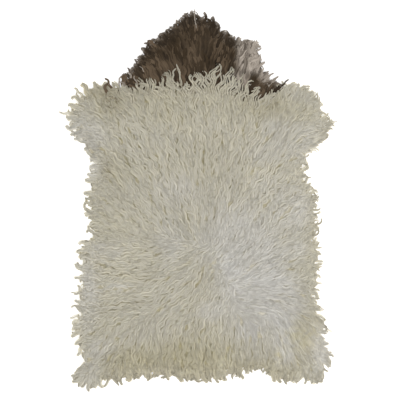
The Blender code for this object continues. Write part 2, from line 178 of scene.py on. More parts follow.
# Locks whose tips stand apart, most of them at the rim. The heading is in degrees from +X, and the hook is
# how many degrees the tip turns left.
TIPS = (
    # place, kind of wool, then its tips: x, y, heading, hook, length, strand width
    (
        "left foreleg",
        "cream",
        (-0.319, 0.324, 115, 30, 0.060, 0.0071), (-0.339, 0.310, 130, 25, 0.050, 0.0030),
        (-0.346, 0.278, 150, 95, 0.050, 0.0057), (-0.355, 0.262, 150, 45, 0.045, 0.0060),
        (-0.382, 0.242, 168, 15, 0.055, 0.0028), (-0.361, 0.234, 180, -30, 0.045, 0.0060),
        (-0.361, 0.209, 190, -80, 0.045, 0.0057), (-0.353, 0.193, 196, 40, 0.045, 0.0050),
        (-0.340, 0.172, 200, -30, 0.045, 0.0050), (-0.357, 0.222, 176, 35, 0.045, 0.0050),
        (-0.330, 0.300, 122, -35, 0.045, 0.0032), (-0.287, 0.327, 108, 25, 0.045, 0.0054),
        (-0.272, 0.323, 96, -30, 0.040, 0.0030),
    ),
    (
        "neck root",
        "red",
        (-0.254, 0.338, 118, 20, 0.045, 0.0036), (-0.246, 0.322, 100, -60, 0.040, 0.0040),
        (-0.213, 0.339, 100, 85, 0.042, 0.0036), (-0.197, 0.347, 95, -60, 0.045, 0.0036),
    ),
    (
        "neck root",
        "pale",
        (-0.206, 0.337, 90, -120, 0.032, 0.0020), (-0.215, 0.326, 125, 80, 0.030, 0.0020),
        (-0.195, 0.352, 105, 90, 0.034, 0.0020), (-0.193, 0.326, 85, -110, 0.030, 0.0018),
        (-0.172, 0.345, 115, -40, 0.040, 0.0016), (-0.166, 0.371, 128, 30, 0.040, 0.0016),
    ),
    (
        "left flank",
        "cream",
        (-0.295, 0.113, 160, 40, 0.040, 0.0060), (-0.298, 0.094, 170, 20, 0.040, 0.0060),
        (-0.304, 0.073, 168, 15, 0.045, 0.0065), (-0.309, 0.056, 172, 25, 0.045, 0.0068),
        (-0.314, 0.021, 178, 20, 0.045, 0.0065), (-0.310, -0.020, 172, -35, 0.045, 0.0062),
        (-0.311, -0.037, 185, 25, 0.040, 0.0062),
    ),
    (
        "left side",
        "cream",
        (-0.296, -0.067, 178, 45, 0.040, 0.0057), (-0.326, -0.119, 165, 70, 0.050, 0.0057),
        (-0.329, -0.143, 175, 95, 0.050, 0.0054), (-0.334, -0.168, 172, -85, 0.050, 0.0054),
        (-0.321, -0.187, 185, 70, 0.045, 0.0057), (-0.339, -0.212, 178, 30, 0.050, 0.0048),
        (-0.348, -0.250, 172, 20, 0.050, 0.0028), (-0.334, -0.267, 182, -70, 0.045, 0.0054),
    ),
    (
        "left hip",
        "cream",
        (-0.348, -0.291, 175, 45, 0.050, 0.0030), (-0.351, -0.321, 180, 40, 0.055, 0.0030),
        (-0.344, -0.338, 188, 60, 0.050, 0.0054), (-0.341, -0.354, 192, 85, 0.050, 0.0051),
        (-0.344, -0.373, 200, 50, 0.050, 0.0054), (-0.332, -0.395, 210, 60, 0.050, 0.0057),
        (-0.327, -0.425, 235, 25, 0.060, 0.0060), (-0.300, -0.438, 245, 80, 0.045, 0.0051),
    ),
    (
        "left hind leg",
        "cream",
        (-0.335, -0.463, 180, -60, 0.045, 0.0057), (-0.345, -0.480, 195, 20, 0.045, 0.0048),
        (-0.346, -0.494, 208, -25, 0.050, 0.0054), (-0.320, -0.505, 235, 40, 0.045, 0.0065),
        (-0.299, -0.518, 252, 20, 0.050, 0.0062), (-0.285, -0.510, 265, -30, 0.045, 0.0062),
        (-0.261, -0.511, 280, 25, 0.045, 0.0062),
    ),
    (
        "tail edge",
        "cream",
        (-0.216, -0.491, 262, 30, 0.045, 0.0071), (-0.193, -0.494, 268, -40, 0.045, 0.0068),
        (-0.180, -0.480, 272, 50, 0.040, 0.0068), (-0.161, -0.480, 262, -30, 0.040, 0.0071),
        (-0.134, -0.481, 268, 45, 0.040, 0.0071), (-0.112, -0.480, 275, -45, 0.040, 0.0071),
        (-0.076, -0.481, 265, 40, 0.040, 0.0071), (-0.043, -0.496, 272, 10, 0.050, 0.0057),
        (-0.022, -0.488, 262, 45, 0.045, 0.0071), (-0.005, -0.486, 278, -40, 0.045, 0.0068),
        (0.025, -0.497, 292, 15, 0.050, 0.0054), (0.047, -0.489, 270, -30, 0.045, 0.0068),
        (0.063, -0.481, 262, 40, 0.040, 0.0071), (0.077, -0.492, 280, 20, 0.045, 0.0062),
        (0.110, -0.481, 270, -40, 0.040, 0.0068), (0.126, -0.486, 295, 20, 0.045, 0.0051),
        (0.206, -0.494, 285, -35, 0.050, 0.0065), (0.227, -0.497, 278, 30, 0.045, 0.0071),
    ),
    (
        "right hind leg",
        "cream",
        (0.255, -0.494, 268, -40, 0.045, 0.0071), (0.279, -0.489, 275, 30, 0.045, 0.0068),
        (0.311, -0.500, 285, -30, 0.045, 0.0068), (0.328, -0.499, 300, 20, 0.045, 0.0048),
        (0.360, -0.455, 318, -30, 0.045, 0.0062), (0.366, -0.439, 330, 30, 0.045, 0.0057),
    ),
    (
        "right hip",
        "cream",
        (0.367, -0.360, 325, -15, 0.045, 0.0026), (0.352, -0.343, 335, 20, 0.045, 0.0054),
    ),
    (
        "right side",
        "cream",
        (0.346, -0.299, 332, -15, 0.045, 0.0040), (0.332, -0.267, 20, -40, 0.045, 0.0040),
        (0.341, -0.223, 10, -20, 0.045, 0.0040), (0.343, -0.171, 15, -25, 0.045, 0.0032),
        (0.341, -0.127, 345, 15, 0.050, 0.0040), (0.330, -0.108, 25, 10, 0.045, 0.0040),
        (0.334, -0.075, 345, -15, 0.045, 0.0040), (0.331, -0.053, 20, -40, 0.045, 0.0040),
    ),
    (
        "right flank",
        "cream",
        (0.329, -0.004, 10, -85, 0.045, 0.0048), (0.329, 0.018, 35, -25, 0.045, 0.0048),
        (0.315, 0.040, 35, 15, 0.045, 0.0048), (0.301, 0.094, 45, -30, 0.045, 0.0048),
        (0.293, 0.119, 42, -20, 0.045, 0.0048),
    ),
    (
        "right foreleg",
        "cream",
        (0.330, 0.135, 15, -75, 0.055, 0.0051), (0.350, 0.171, 12, -50, 0.050, 0.0051),
        (0.361, 0.196, 8, -60, 0.050, 0.0051), (0.384, 0.219, 8, -10, 0.055, 0.0032),
        (0.358, 0.242, 35, 15, 0.045, 0.0048), (0.344, 0.265, 40, -35, 0.045, 0.0048),
        (0.331, 0.288, 52, 40, 0.045, 0.0048), (0.327, 0.300, 45, 20, 0.045, 0.0048),
        (0.309, 0.308, 62, -40, 0.045, 0.0048), (0.293, 0.322, 52, 20, 0.045, 0.0032),
        (0.268, 0.319, 78, -40, 0.045, 0.0048),
    ),
    (
        "neck root, right",
        "brown",
        (0.249, 0.335, 40, 10, 0.070, 0.0030), (0.238, 0.322, 45, -20, 0.060, 0.0034),
    ),
    (
        "cheek",
        "pale",
        (0.220, 0.344, 42, 10, 0.060, 0.0034), (0.208, 0.352, 48, -15, 0.060, 0.0034),
        (0.185, 0.382, 55, -30, 0.060, 0.0036), (0.171, 0.398, 58, 15, 0.055, 0.0040),
        (0.174, 0.423, 55, -70, 0.060, 0.0040), (0.155, 0.442, 72, 20, 0.060, 0.0042),
        (0.132, 0.444, 88, 40, 0.060, 0.0040),
    ),
    (
        "border",
        "cream",
        (-0.066, 0.377, 100, 35, 0.085, 0.0022), (-0.058, 0.364, 92, -40, 0.075, 0.0022),
        (0.048, 0.372, 60, 120, 0.085, 0.0022),
    ),
    (
        "neck, left",
        "brown",
        (-0.061, 0.489, 130, 50, 0.045, 0.0034), (-0.088, 0.469, 138, 45, 0.045, 0.0034),
        (-0.108, 0.447, 130, -50, 0.045, 0.0034), (-0.129, 0.441, 125, 60, 0.045, 0.0034),
        (-0.147, 0.416, 135, -60, 0.045, 0.0034), (-0.187, 0.361, 130, 50, 0.045, 0.0034),
    ),
    ("neck, left", "red", (-0.197, 0.351, 120, -45, 0.040, 0.0034)),
    (
        "neck, right",
        "brown",
        (0.052, 0.489, 70, 60, 0.045, 0.0034), (0.079, 0.462, 60, -60, 0.045, 0.0034),
        (0.098, 0.453, 52, 50, 0.045, 0.0034), (0.095, 0.450, 70, -80, 0.045, 0.0046),
        (0.075, 0.466, 75, 70, 0.045, 0.0046), (0.062, 0.471, 72, -110, 0.050, 0.0046),
        (0.040, 0.507, 88, 15, 0.050, 0.0044),
    ),
    ("neck, middle", "brown", (0.014, 0.518, 75, 75, 0.055, 0.0044)),
    ("neck", "pale", (-0.008, 0.529, 100, -20, 0.085, 0.0014)),
    (
        "neck tip",
        "brown",
        (-0.034, 0.515, 100, 25, 0.050, 0.0042), (-0.049, 0.502, 110, 35, 0.045, 0.0042),
    ),
    (
        "neck, left",
        "brown",
        (-0.077, 0.474, 118, 60, 0.045, 0.0046), (-0.107, 0.455, 120, 80, 0.045, 0.0048),
    ),
    ("neck, left", "red", (-0.140, 0.437, 118, 70, 0.045, 0.0044)),
    (
        "neck, left",
        "brown",
        (-0.155, 0.414, 128, 80, 0.045, 0.0046), (-0.165, 0.392, 130, 70, 0.045, 0.0046),
        (-0.176, 0.371, 128, 75, 0.045, 0.0044),
    ),
)

# Soft patches in which the wool has another colour. The first kind is painted sheen: lighter, cooler cream
# where light glances off the smooth wool. The brownish specks are partly painted shade in the crevices.
PATCHES = {
    # colour: its patches, each with its place, the middle's x and y, its half sizes and its strength
    "clean": (
        ("right ribs", 0.115, -0.105, 0.12, 0.11, 0.9),
        ("right loin", 0.156, -0.242, 0.11, 0.12, 1.0),
        ("right hip", 0.334, -0.400, 0.03, 0.06, 0.8),
        ("right hind leg", 0.235, -0.385, 0.035, 0.08, 0.9),
        ("right foreleg, lower", 0.255, 0.180, 0.09, 0.05, 0.35),
        ("left foreleg, lower", -0.309, 0.182, 0.06, 0.05, 0.7),
        ("middle of the back", -0.049, 0.031, 0.07, 0.05, 0.3),
        ("right side", 0.265, -0.023, 0.07, 0.06, 0.5),
        ("left side", -0.240, -0.130, 0.06, 0.03, 0.4),
        ("loin, left", -0.213, -0.231, 0.05, 0.012, 0.5),
        ("left hind leg", -0.265, -0.395, 0.04, 0.03, 0.5),
        ("left hind corner", -0.300, -0.450, 0.04, 0.06, 0.25),
        ("left side, lower", -0.300, -0.260, 0.04, 0.10, 0.5),
        ("left flank", -0.290, 0.090, 0.03, 0.03, 0.5),
        ("back, left of the parting", -0.075, -0.105, 0.04, 0.06, 0.45),
        ("below the parting", 0.033, -0.296, 0.035, 0.03, 0.6),
        ("right side, lower", 0.240, -0.265, 0.06, 0.07, 0.6),
        ("right side, rim", 0.285, -0.080, 0.035, 0.09, 0.3),
        ("right shoulder, lower", 0.220, 0.130, 0.12, 0.03, 0.25),
        ("right ribs, upper", 0.190, 0.030, 0.06, 0.04, 0.4),
        ("right side, middle", 0.255, -0.133, 0.035, 0.035, 0.5),
        ("rump, right", 0.142, -0.351, 0.035, 0.030, 0.5),
    ),
    "dirty": (
        ("tail edge", -0.030, -0.445, 0.170, 0.085, 1.0),
        ("tail edge, left", -0.190, -0.455, 0.075, 0.070, 0.8),
        ("tail edge, right", 0.180, -0.468, 0.110, 0.042, 0.9),
        ("neck root", -0.040, 0.275, 0.24, 0.075, 0.35),
        ("left ribs", -0.225, 0.085, 0.05, 0.04, 0.3),
        ("right shoulder", 0.178, 0.268, 0.06, 0.05, 0.7),
        ("right foreleg", 0.265, 0.245, 0.06, 0.04, 0.3),
        ("left shoulder", -0.235, 0.270, 0.05, 0.05, 0.4),
        ("left foreleg, upper", -0.295, 0.305, 0.07, 0.03, 0.8),
        ("right side, rim", 0.320, -0.040, 0.040, 0.130, 0.3),
    ),
    "stained": (
        ("right hip", 0.276, -0.368, 0.055, 0.050, 0.7),
        ("right hip, middle", 0.280, -0.371, 0.026, 0.022, 1.2),
        ("right hind leg", 0.219, -0.414, 0.018, 0.022, 0.9),
        ("tail", 0.070, -0.444, 0.030, 0.026, 0.9),
        ("right foreleg", 0.280, 0.238, 0.060, 0.040, 0.55),
        ("left side", -0.200, -0.120, 0.100, 0.140, 0.25),
    ),
    "faded": (
        ("cheek, lower", 0.112, 0.325, 0.028, 0.030, 0.7),
        ("cheek, middle", 0.140, 0.380, 0.036, 0.036, 1.2),
        ("cheek, upper", 0.148, 0.420, 0.042, 0.036, 1.5),
        ("cheek, outer", 0.185, 0.345, 0.024, 0.024, 0.8),
    ),
    # brownish specks of brown wool among the cream, and painted shade in the crevices along the border and
    # the tail edge
    "sooty": (
        ("left shoulder", -0.236, 0.284, 0.030, 0.040, 1.3),
        ("right shoulder", 0.170, 0.288, 0.026, 0.022, 0.6),
        ("withers, left", -0.130, 0.305, 0.060, 0.015, 0.4),
        ("withers, right", 0.090, 0.290, 0.050, 0.015, 0.4),
        ("left flank", -0.248, 0.082, 0.018, 0.030, 0.6),
        ("border", -0.010, 0.336, 0.190, 0.032, 1.0),
        ("border, middle", -0.022, 0.306, 0.035, 0.024, 1.0),
        ("border, left", -0.188, 0.310, 0.030, 0.022, 0.5),
        ("border, right", 0.135, 0.308, 0.045, 0.032, 1.0),
        ("tail edge", -0.030, -0.470, 0.230, 0.035, 0.45),
        ("right flank", 0.255, 0.085, 0.040, 0.030, 0.15),
    ),
    "ruddy": (
        ("neck root, left", -0.135, 0.350, 0.090, 0.050, 0.9),
        ("neck root", -0.030, 0.345, 0.070, 0.045, 0.7),
        ("neck, middle", 0.010, 0.420, 0.030, 0.050, 0.4),
        ("neck root, far left", -0.230, 0.325, 0.050, 0.030, 1.0),
        ("neck root, right", 0.190, 0.303, 0.050, 0.035, 0.7),
    ),
}

# The cream wool is made band by band, from the shoulders down. From is each band's lower limit along Y.
BODY_BANDS = (
    # piece, from
    ("wool_shoulders", 0.165),
    ("wool_upper_back", 0.040),
    ("wool_middle_back", -0.085),
    ("wool_loin", -0.215),
    ("wool_rump", -0.345),
    ("wool_tail", -1.0),
)

# The even grid on which the combing, the height and the distance to the edge are kept
GRID_STEP = 0.004
GRID_LOW = (-0.440, -0.580)
GRID_SIZE = (221, 291)
EDGE_STEP = 0.010  # spacing of the points along an edge
SAME_PLACE = 0.00001  # CAD corners closer than this are one corner
SAME_HEIGHT = 0.0002  # corners no higher than this over the lowest one are on the underside
BLUR_ROUNDS = 14  # how often the fleece's height is smoothed
ROW_SHARE = 0.87  # spacing of the rows in a triangular pattern, as a share of the spacing in a row

# The hide and the underwool
REACH_OUT = 0.45  # a sheet's points this far out, as a share of its step, are still drawn in to its edge
HIDE_STEP = 0.012  # size of the hide's triangles
HIDE_MIDDLE = 0.0013  # height of the middle of its thickness
HIDE_UNEVEN = 0.0005  # how far it rises and falls
HIDE_THICK = 0.0016
UNDER_STEP = 0.009  # size of the underwool's triangles
UNDER_PAST = 0.012  # how far the underwool passes the hide's edge
UNDER_LOWEST = 0.0045  # the least height of its top
UNDER_FLOOR = 0.0026  # height of its underside
UNDER_LUMPS = 0.04  # how much its height varies, as a share
UNDER_RUDDY = 0.035  # how far around the line with the cream the brown underwool is ruddy

# Where along a strand its rings are: far apart near the hidden root, and close together where it waves
STATIONS = np.concatenate([np.linspace(0.0, 0.2, 2, endpoint=False), np.linspace(0.2, 1.0, 13)])
# A strand's width along it, against its widest: for one that thins out, and for one with a blunt tip
THIN_END = np.interp(STATIONS, (0.0, 0.2, 0.7, 0.88, 0.95, 1.0), (0.60, 1.0, 0.96, 0.78, 0.56, 0.0))
BLUNT_END = np.interp(STATIONS, (0.0, 0.2, 0.7, 0.94, 1.0), (0.60, 0.90, 1.0, 0.92, 0.0))
CORNERS = 3
TRIANGLES = CORNERS + 1  # in each strand: at its tip and on its root
# From where on along a strand something happens, and over how long a stretch
DRAW_TOGETHER = (0.15, 0.65)
START_TO_WAVE = (0.10, 0.35)
RISE = (0.0, 0.36)
DIP = (0.82, 0.18)
HOOK_FROM = 0.62  # a tip curls over the stretch from here on
RIM_DEPTH = 0.040  # how far inside the edge the rim's darker wool, painted shade on the cream, reaches
ROOT_SINKS = 0.004  # how far under the underwool's top a lock begins
LOWEST_ROOT = 0.003  # though no lower than this, where the wool is that high
TIP_SINKS = 0.0040  # how far the tip dips into the wool around it
WAVE_RISES = 0.30  # how far a strand also waves up and down, as a share of its waves to the sides
WAVE_RISE_PHASE = 1.9  # how far that runs ahead of them, in radians
DEEP_FROM = 0.0005  # wool this far under the fleece's top starts to get painted crevice shade
DEEP_AT = 0.0040  # and it gets the fullest painted shade from here on
PATCH_REACH = 1.35  # where a patch ends, as a share of its half sizes
NECK_FROM = 0.2  # the line with the brown lies above this Y
PAST_LINE = (-0.005, 0.023)  # how far a cream lock may lie over the line with the brown
SHORTEST = 0.25  # the share of its length that a lock keeps, however much it is shortened

# How unlike each other the locks and the strands are: the lowest and highest share of a size, or a spread
LENGTH_SHARES = (0.75, 1.12)
WAVE_SHARES = (0.55, 1.35)
WAVE_LENGTH_SHARES = (0.8, 1.3)
STRAND_WAVE_LENGTH_SHARES = (0.92, 1.08)
WIDTH_SHARES = (0.8, 1.2)
TURN_SPREAD = radians(8)
HOOK_SPREAD = radians(35)
PAST_EDGE = (-0.022, -0.004)  # how far past the wool's edge a lock may end, so here always short of it
ROOT_JITTER = 0.45  # how far a root stands off its even place, as a share of the spacing
SLOT_JITTER = 0.12  # how far a strand lies off its place in the lock, as a share of the lock's width
TONE_JITTER = 0.3  # how far a strand's tone lies off its lock's
FLATTEST = 0.30  # height of the strands where the wool doesn't wave, against 1 where it does

# The bake map: a strip for each strand, this many pixels wide and long, on a square map
MAP_PIXELS = 1024
STRIP_WIDE = 7
STRIP_LONG = 56

FLOOR_CLEARANCE = 0.0005
SHARP_FROM = radians(80)  # a strand is smooth over its rounded side, and sharp along its flat one
HIGHEST = 0.060  # no strand rises above this


# ------------------------------------------------------------------------------------------ sizes and colours


def length_property(name, description, default):
    return bpy.props.FloatProperty(
        name=name, description=description, default=default, min=0.0, unit="LENGTH"
    )


def share_property(name, description, default, top=2.0):
    return bpy.props.FloatProperty(
        name=name, description=description, default=default, min=0.0, max=top
    )


def colour_property(name, description, default):
    return bpy.props.FloatVectorProperty(
        name=name, description=description, default=default, min=0.0, max=1.0, size=3, subtype="COLOR"
    )


class RugWool(bpy.types.PropertyGroup):
    spacing: length_property("Lock spacing", "Distance between the roots of neighbouring locks", 0.0160)
    strand_width: length_property("Strand width", "Width of a strand of wool at its widest", 0.0054)
    strand_height: length_property("Strand height", "Height of a strand of wool over its flat side", 0.0013)
    length: length_property("Wool length", "Length of the wool on the back, root to tip", 0.088)
    wave: length_property("Wave height", "How far a strand waves to each side", 0.0029)
    wave_length: length_property("Wave length", "Length of one wave along a strand", 0.029)
    lock_width: length_property("Lock width", "Width of a lock where it grows", 0.0125)
    rim_spacing: length_property("Rim spacing", "Distance between neighbouring locks along the rim", 0.0095)
    rim_past: length_property("Rim reach", "How far the rim's own locks pass the wool's edge", 0.008)
    border_spacing: length_property(
        "Border spacing", "Distance between the long locks over the brown", 0.0190
    )
    lift: length_property("Lift", "How far locks lie above and below each other", 0.0019)
    under_share: share_property("Underwool", "Height of the underwool as a share of the fleece", 0.94, 1.0)
    strands_in_lock: bpy.props.IntProperty(
        name="Strands in a lock",
        description="How many strands lie together as one lock",
        default=3,
        min=1,
        max=9,
    )
    seed: bpy.props.IntProperty(
        name="Seed", description="Picks one growth of wool out of many", default=11, min=0
    )


class RugColours(bpy.types.PropertyGroup):
    cream: colour_property("Cream", "Colour of the cream wool", (0.815, 0.762, 0.618))
    # Painted sheen: the lighter, cooler cream of the sheen patches
    cream_clean: colour_property(
        "Cream, clean", "The cooler cream of the cleanest patches", (1.0, 0.965, 0.885)
    )
    cream_dirty: colour_property(
        "Cream, dirty", "The duller cream of the tail edge and the neck's root", (0.62, 0.56, 0.388)
    )
    # Painted shade: the olive that stands for shade deep between the locks and on each strand's sides
    cream_deep: colour_property(
        "Cream, deep", "The olive cream deep between the locks", (0.64, 0.57, 0.340)
    )
    # Painted shade: the darker, duller cream at the rug's rim, stronger where the wool is dirty
    cream_rim: colour_property("Cream, rim", "The dull cream at the rug's rim", (0.53, 0.48, 0.363))
    stain: colour_property("Stain", "The yellowish cream of the stained wool", (0.95, 0.865, 0.59))
    # Brownish specks, which also stand for painted shade in the crevices near the neck and at the tail edge
    sooty: colour_property(
        "Cream, sooty", "The brownish specks in the cream near the neck", (0.22, 0.17, 0.10)
    )
    brown_tip: colour_property(
        "Brown, tips", "Colour of the brown wool at its tips", (0.0535, 0.0345, 0.0172)
    )
    brown_root: colour_property(
        "Brown, roots", "Colour of the brown wool near the skin", (0.0245, 0.016, 0.0085)
    )
    brown_ruddy: colour_property(
        "Brown, ruddy", "The lighter reddish brown near the neck's root", (0.150, 0.106, 0.067)
    )
    brown_faded: colour_property(
        "Brown, faded", "The pale grey of the neck's faded wool", (0.53, 0.465, 0.395)
    )
    hide: colour_property("Hide", "Colour of the tanned hide", (0.62, 0.50, 0.36))
    floor: colour_property("Floor", "Colour of the floor", (0.93, 0.93, 0.93))


class RugStage(bpy.types.PropertyGroup):
    eye_x: bpy.props.FloatProperty(
        name="Camera X", description="The camera's place along X", default=0.0058, unit="LENGTH"
    )
    eye_y: bpy.props.FloatProperty(
        name="Camera Y", description="The camera's place along Y", default=0.0041, unit="LENGTH"
    )
    eye_height: length_property("Camera height", "The camera's height over the floor", 3.0)
    view_width: length_property("View width", "Width of the floor that the camera sees", 1.0936)
    floor_side: length_property("Floor side", "Side of the square floor", 14.0)
    floor_glow: share_property(
        "Floor glow", "Light that the floor gives by itself, as a light table does", 0.55, 5.0
    )
    dome_light: share_property("Dome light", "Strength of the even light from all around", 0.695, 5.0)
    lamp_power: bpy.props.FloatProperty(
        name="Lamp power", description="Power of the soft lamp", default=20.0, min=0.0, unit="POWER"
    )


# --------------------------------------------------------------------------------------------- shader helpers


class Value:
    """A number that a node gives. Sums and products of values add Math nodes."""

    def __init__(self, look, socket):
        self.look = look
        self.socket = socket

    def __add__(self, other):
        return self.look.math("ADD", self, other)

    def __rsub__(self, other):
        return self.look.math("SUBTRACT", other, self)

    def __mul__(self, other):
        return self.look.math("MULTIPLY", self, other)

    __radd__ = __add__


class Look:
    """A material in the making."""

    def __init__(self, name):
        self.material = bpy.data.materials.new(name)
        self.material.use_nodes = True
        self.tree = self.material.node_tree
        self.tree.nodes.clear()

    def node(self, kind, settings=None, sockets=None):
        """A node of that kind: its settings are set first, and then its sockets are given values or links."""
        made = self.tree.nodes.new("ShaderNode" + kind)
        for key, setting in (settings or {}).items():
            setattr(made, key, setting)
        for key, given in (sockets or {}).items():
            if isinstance(given, Value):
                self.tree.links.new(given.socket, made.inputs[key])
            else:
                made.inputs[key].default_value = given
        return made

    def math(self, operation, *numbers):
        made = self.node("Math", {"operation": operation}, dict(enumerate(numbers)))
        return Value(self, made.outputs[0])

    def between(self, number, low, high):
        """0 where the number is low or less, 1 where it is high or more, and smooth in between."""
        made = self.node(
            "MapRange",
            {"interpolation_type": "SMOOTHSTEP"},
            {"Value": number, "From Min": low, "From Max": high},
        )
        return Value(self, made.outputs[0])

    def mix(self, share, first, second, blend="MIX"):
        """A colour between the first and the second."""
        settings = {"data_type": "RGBA", "blend_type": blend, "clamp_factor": True}
        made = self.node("Mix", settings, {0: share, 6: full(first), 7: full(second)})
        return Value(self, made.outputs[2])

    def attribute(self, name):
        return Value(self, self.node("Attribute", {"attribute_name": name}).outputs["Fac"])

    def place(self):
        return Value(self, self.node("TexCoord").outputs["Object"])

    def strip_map(self):
        return Value(self, self.node("UVMap", {"uv_map": "OFBake"}).outputs[0])

    def stretched(self, where, factors):
        made = self.node("VectorMath", {"operation": "MULTIPLY"}, {0: where, 1: factors})
        return Value(self, made.outputs[0])

    def noise(self, where, scale, detail=2.0, roughness=0.5):
        sockets = {"Vector": where, "Scale": scale, "Detail": detail, "Roughness": roughness}
        return Value(self, self.node("TexNoise", None, sockets).outputs[0])

    def shaded(self, colour, share):
        """The colour, darkened to that share of itself."""
        gray = self.node("CombineColor", None, {0: share, 1: share, 2: share})
        return self.mix(1.0, colour, Value(self, gray.outputs[0]), "MULTIPLY")

    def bump(self, height, strength, distance):
        made = self.node("Bump", None, {"Height": height, "Strength": strength, "Distance": distance})
        return Value(self, made.outputs[0])

    def finish(self, sockets):
        """Closes the material with its shader and hands it over."""
        shader = self.node("BsdfPrincipled", None, sockets)
        output = self.node("OutputMaterial")
        self.tree.links.new(shader.outputs[0], output.inputs[0])
        return self.material


def full(colour):
    """A colour with its fourth number, or the value as it is."""
    return colour if isinstance(colour, Value) else (*colour[:3], 1.0)


# ------------------------------------------------------------------------------------------- edges and fields


def ramp(values, start, stretch):
    """0 up to the start, 1 from the end of the stretch on, and straight in between."""
    return np.clip((values - start) / stretch, 0.0, 1.0)


def unit(vectors):
    return vectors / np.maximum(np.linalg.norm(vectors, axis=-1), 1e-9)[..., None]


def left_of(ways):
    """The flat vectors turned left by a quarter."""
    return np.stack([-ways[..., 1], ways[..., 0]], axis=-1)


def towards(headings):
    """Flat unit vectors from their angles to +X."""
    return np.stack([np.cos(headings), np.sin(headings)], axis=-1)


def heading_of(ways):
    return np.arctan2(ways[..., 1], ways[..., 0])


def signed_area(ring):
    """The area in the ring, less than nothing where the ring runs clockwise."""
    turned = np.roll(ring, -1, axis=0)
    return (ring[:, 0] * turned[:, 1] - turned[:, 0] * ring[:, 1]).sum() / 2


def smoothed(values, rounds):
    """The values of a grid, each blended with its neighbours again and again."""
    for _ in range(rounds):
        for axis in (0, 1):
            values = (np.roll(values, 1, axis) + values + np.roll(values, -1, axis)) / 3
    return values


def smooth_ring(points, step, parts=8):
    """The closed curve through the points, with a point about every step."""
    nodes = np.array(points, dtype=float)
    before = np.roll(nodes, 1, axis=0)
    after = np.roll(nodes, -1, axis=0)
    beyond = np.roll(nodes, -2, axis=0)
    dense = []
    for t in np.linspace(0.0, 1.0, parts, endpoint=False):
        pull = (after - before) * t
        bend = (2 * before - 5 * nodes + 4 * after - beyond) * t**2
        twist = (3 * nodes - before - 3 * after + beyond) * t**3
        dense.append(nodes + (pull + bend + twist) / 2)
    dense = np.stack(dense, axis=1).reshape(-1, 2)
    dense = np.vstack([dense, dense[:1]])
    run = np.concatenate(([0.0], np.cumsum(np.linalg.norm(np.diff(dense, axis=0), axis=1))))
    marks = np.linspace(0.0, run[-1], round(run[-1] / step), endpoint=False)
    return np.column_stack([np.interp(marks, run, column) for column in dense.T])


def outward(ring):
    """Unit vectors square to a clockwise ring, pointing out of it."""
    return left_of(unit(np.roll(ring, -1, axis=0) - np.roll(ring, 1, axis=0)))


def nearest_on(ring, points):
    """For each point: the closest place on the ring, and how far inside the ring the point lies."""
    a = ring[None]
    b = np.roll(ring, -1, axis=0)[None]
    p = points[:, None, :]
    share = np.clip(((p - a) * (b - a)).sum(2) / ((b - a) ** 2).sum(2), 0.0, 1.0)
    foot = a + share[..., None] * (b - a)
    distance = np.linalg.norm(p - foot, axis=2)
    closest = distance.argmin(1)
    crosses = (a[..., 1] > p[..., 1]) != (b[..., 1] > p[..., 1])
    rise = np.where(crosses, b[..., 1] - a[..., 1], 1.0)
    crossing = a[..., 0] + (p[..., 1] - a[..., 1]) * (b[..., 0] - a[..., 0]) / rise
    inside = (crosses & (p[..., 0] < crossing)).sum(1) % 2 == 1
    rows = np.arange(len(points))
    return foot[rows, closest], np.where(inside, 1.0, -1.0) * distance[rows, closest]


class Field:
    """Values on the even grid, read smoothly between its points."""

    def __init__(self, values):
        self.values = values

    def at(self, points):
        place = (points - np.array(GRID_LOW)) / GRID_STEP
        place = np.clip(place, 0.0, np.array(GRID_SIZE) - 1.001)  # just inside the last cell
        column, row = np.moveaxis(place.astype(int), -1, 0)
        right, up = np.moveaxis(place - place.astype(int), -1, 0)
        if self.values.ndim == 3:
            right, up = right[..., None], up[..., None]
        low = self.values[row, column] * (1 - right) + self.values[row, column + 1] * right
        high = self.values[row + 1, column] * (1 - right) + self.values[row + 1, column + 1] * right
        return low * (1 - up) + high * up


def grid_points():
    """The grid's places, as (rows, columns, 2)."""
    x = GRID_LOW[0] + np.arange(GRID_SIZE[0]) * GRID_STEP
    y = GRID_LOW[1] + np.arange(GRID_SIZE[1]) * GRID_STEP
    return np.stack(np.meshgrid(x, y), axis=-1)


def inset_field(ring):
    """How far inside the ring each grid point lies, less than nothing outside it."""
    return Field(np.stack([nearest_on(ring, row)[1] for row in grid_points()]))


def combing_field():
    """The way the wool is combed, as unit vectors, with the waviness as the third value."""
    centres = np.array([row[1:3] for row in COMBING])
    headings = np.radians([row[3] for row in COMBING])
    values = np.column_stack([towards(headings), [row[4] for row in COMBING]])
    offsets = grid_points()[:, :, None, :] - centres
    weights = ((offsets**2).sum(-1) + COMBING_SPREAD**2) ** -2.0
    blended = (weights[..., None] * values).sum(2) / weights.sum(2)[..., None]
    blended[..., :2] = unit(blended[..., :2])
    return Field(blended)


def height_field():
    """The height of the frame's fleece over each grid point, softened."""
    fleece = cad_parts["fleece"]
    corners = [v.co for v in fleece.data.vertices]
    tree = BVHTree.FromPolygons(corners, [p.vertices for p in fleece.data.polygons])
    heights = np.zeros((GRID_SIZE[1], GRID_SIZE[0]))
    for i, row in enumerate(grid_points()):
        for j, (x, y) in enumerate(row):
            hit = tree.ray_cast(Vector((x, y, 1.0)), Vector((0.0, 0.0, -1.0)))[0]
            heights[i, j] = hit.z if hit else 0.0
    return Field(smoothed(heights, BLUR_ROUNDS))


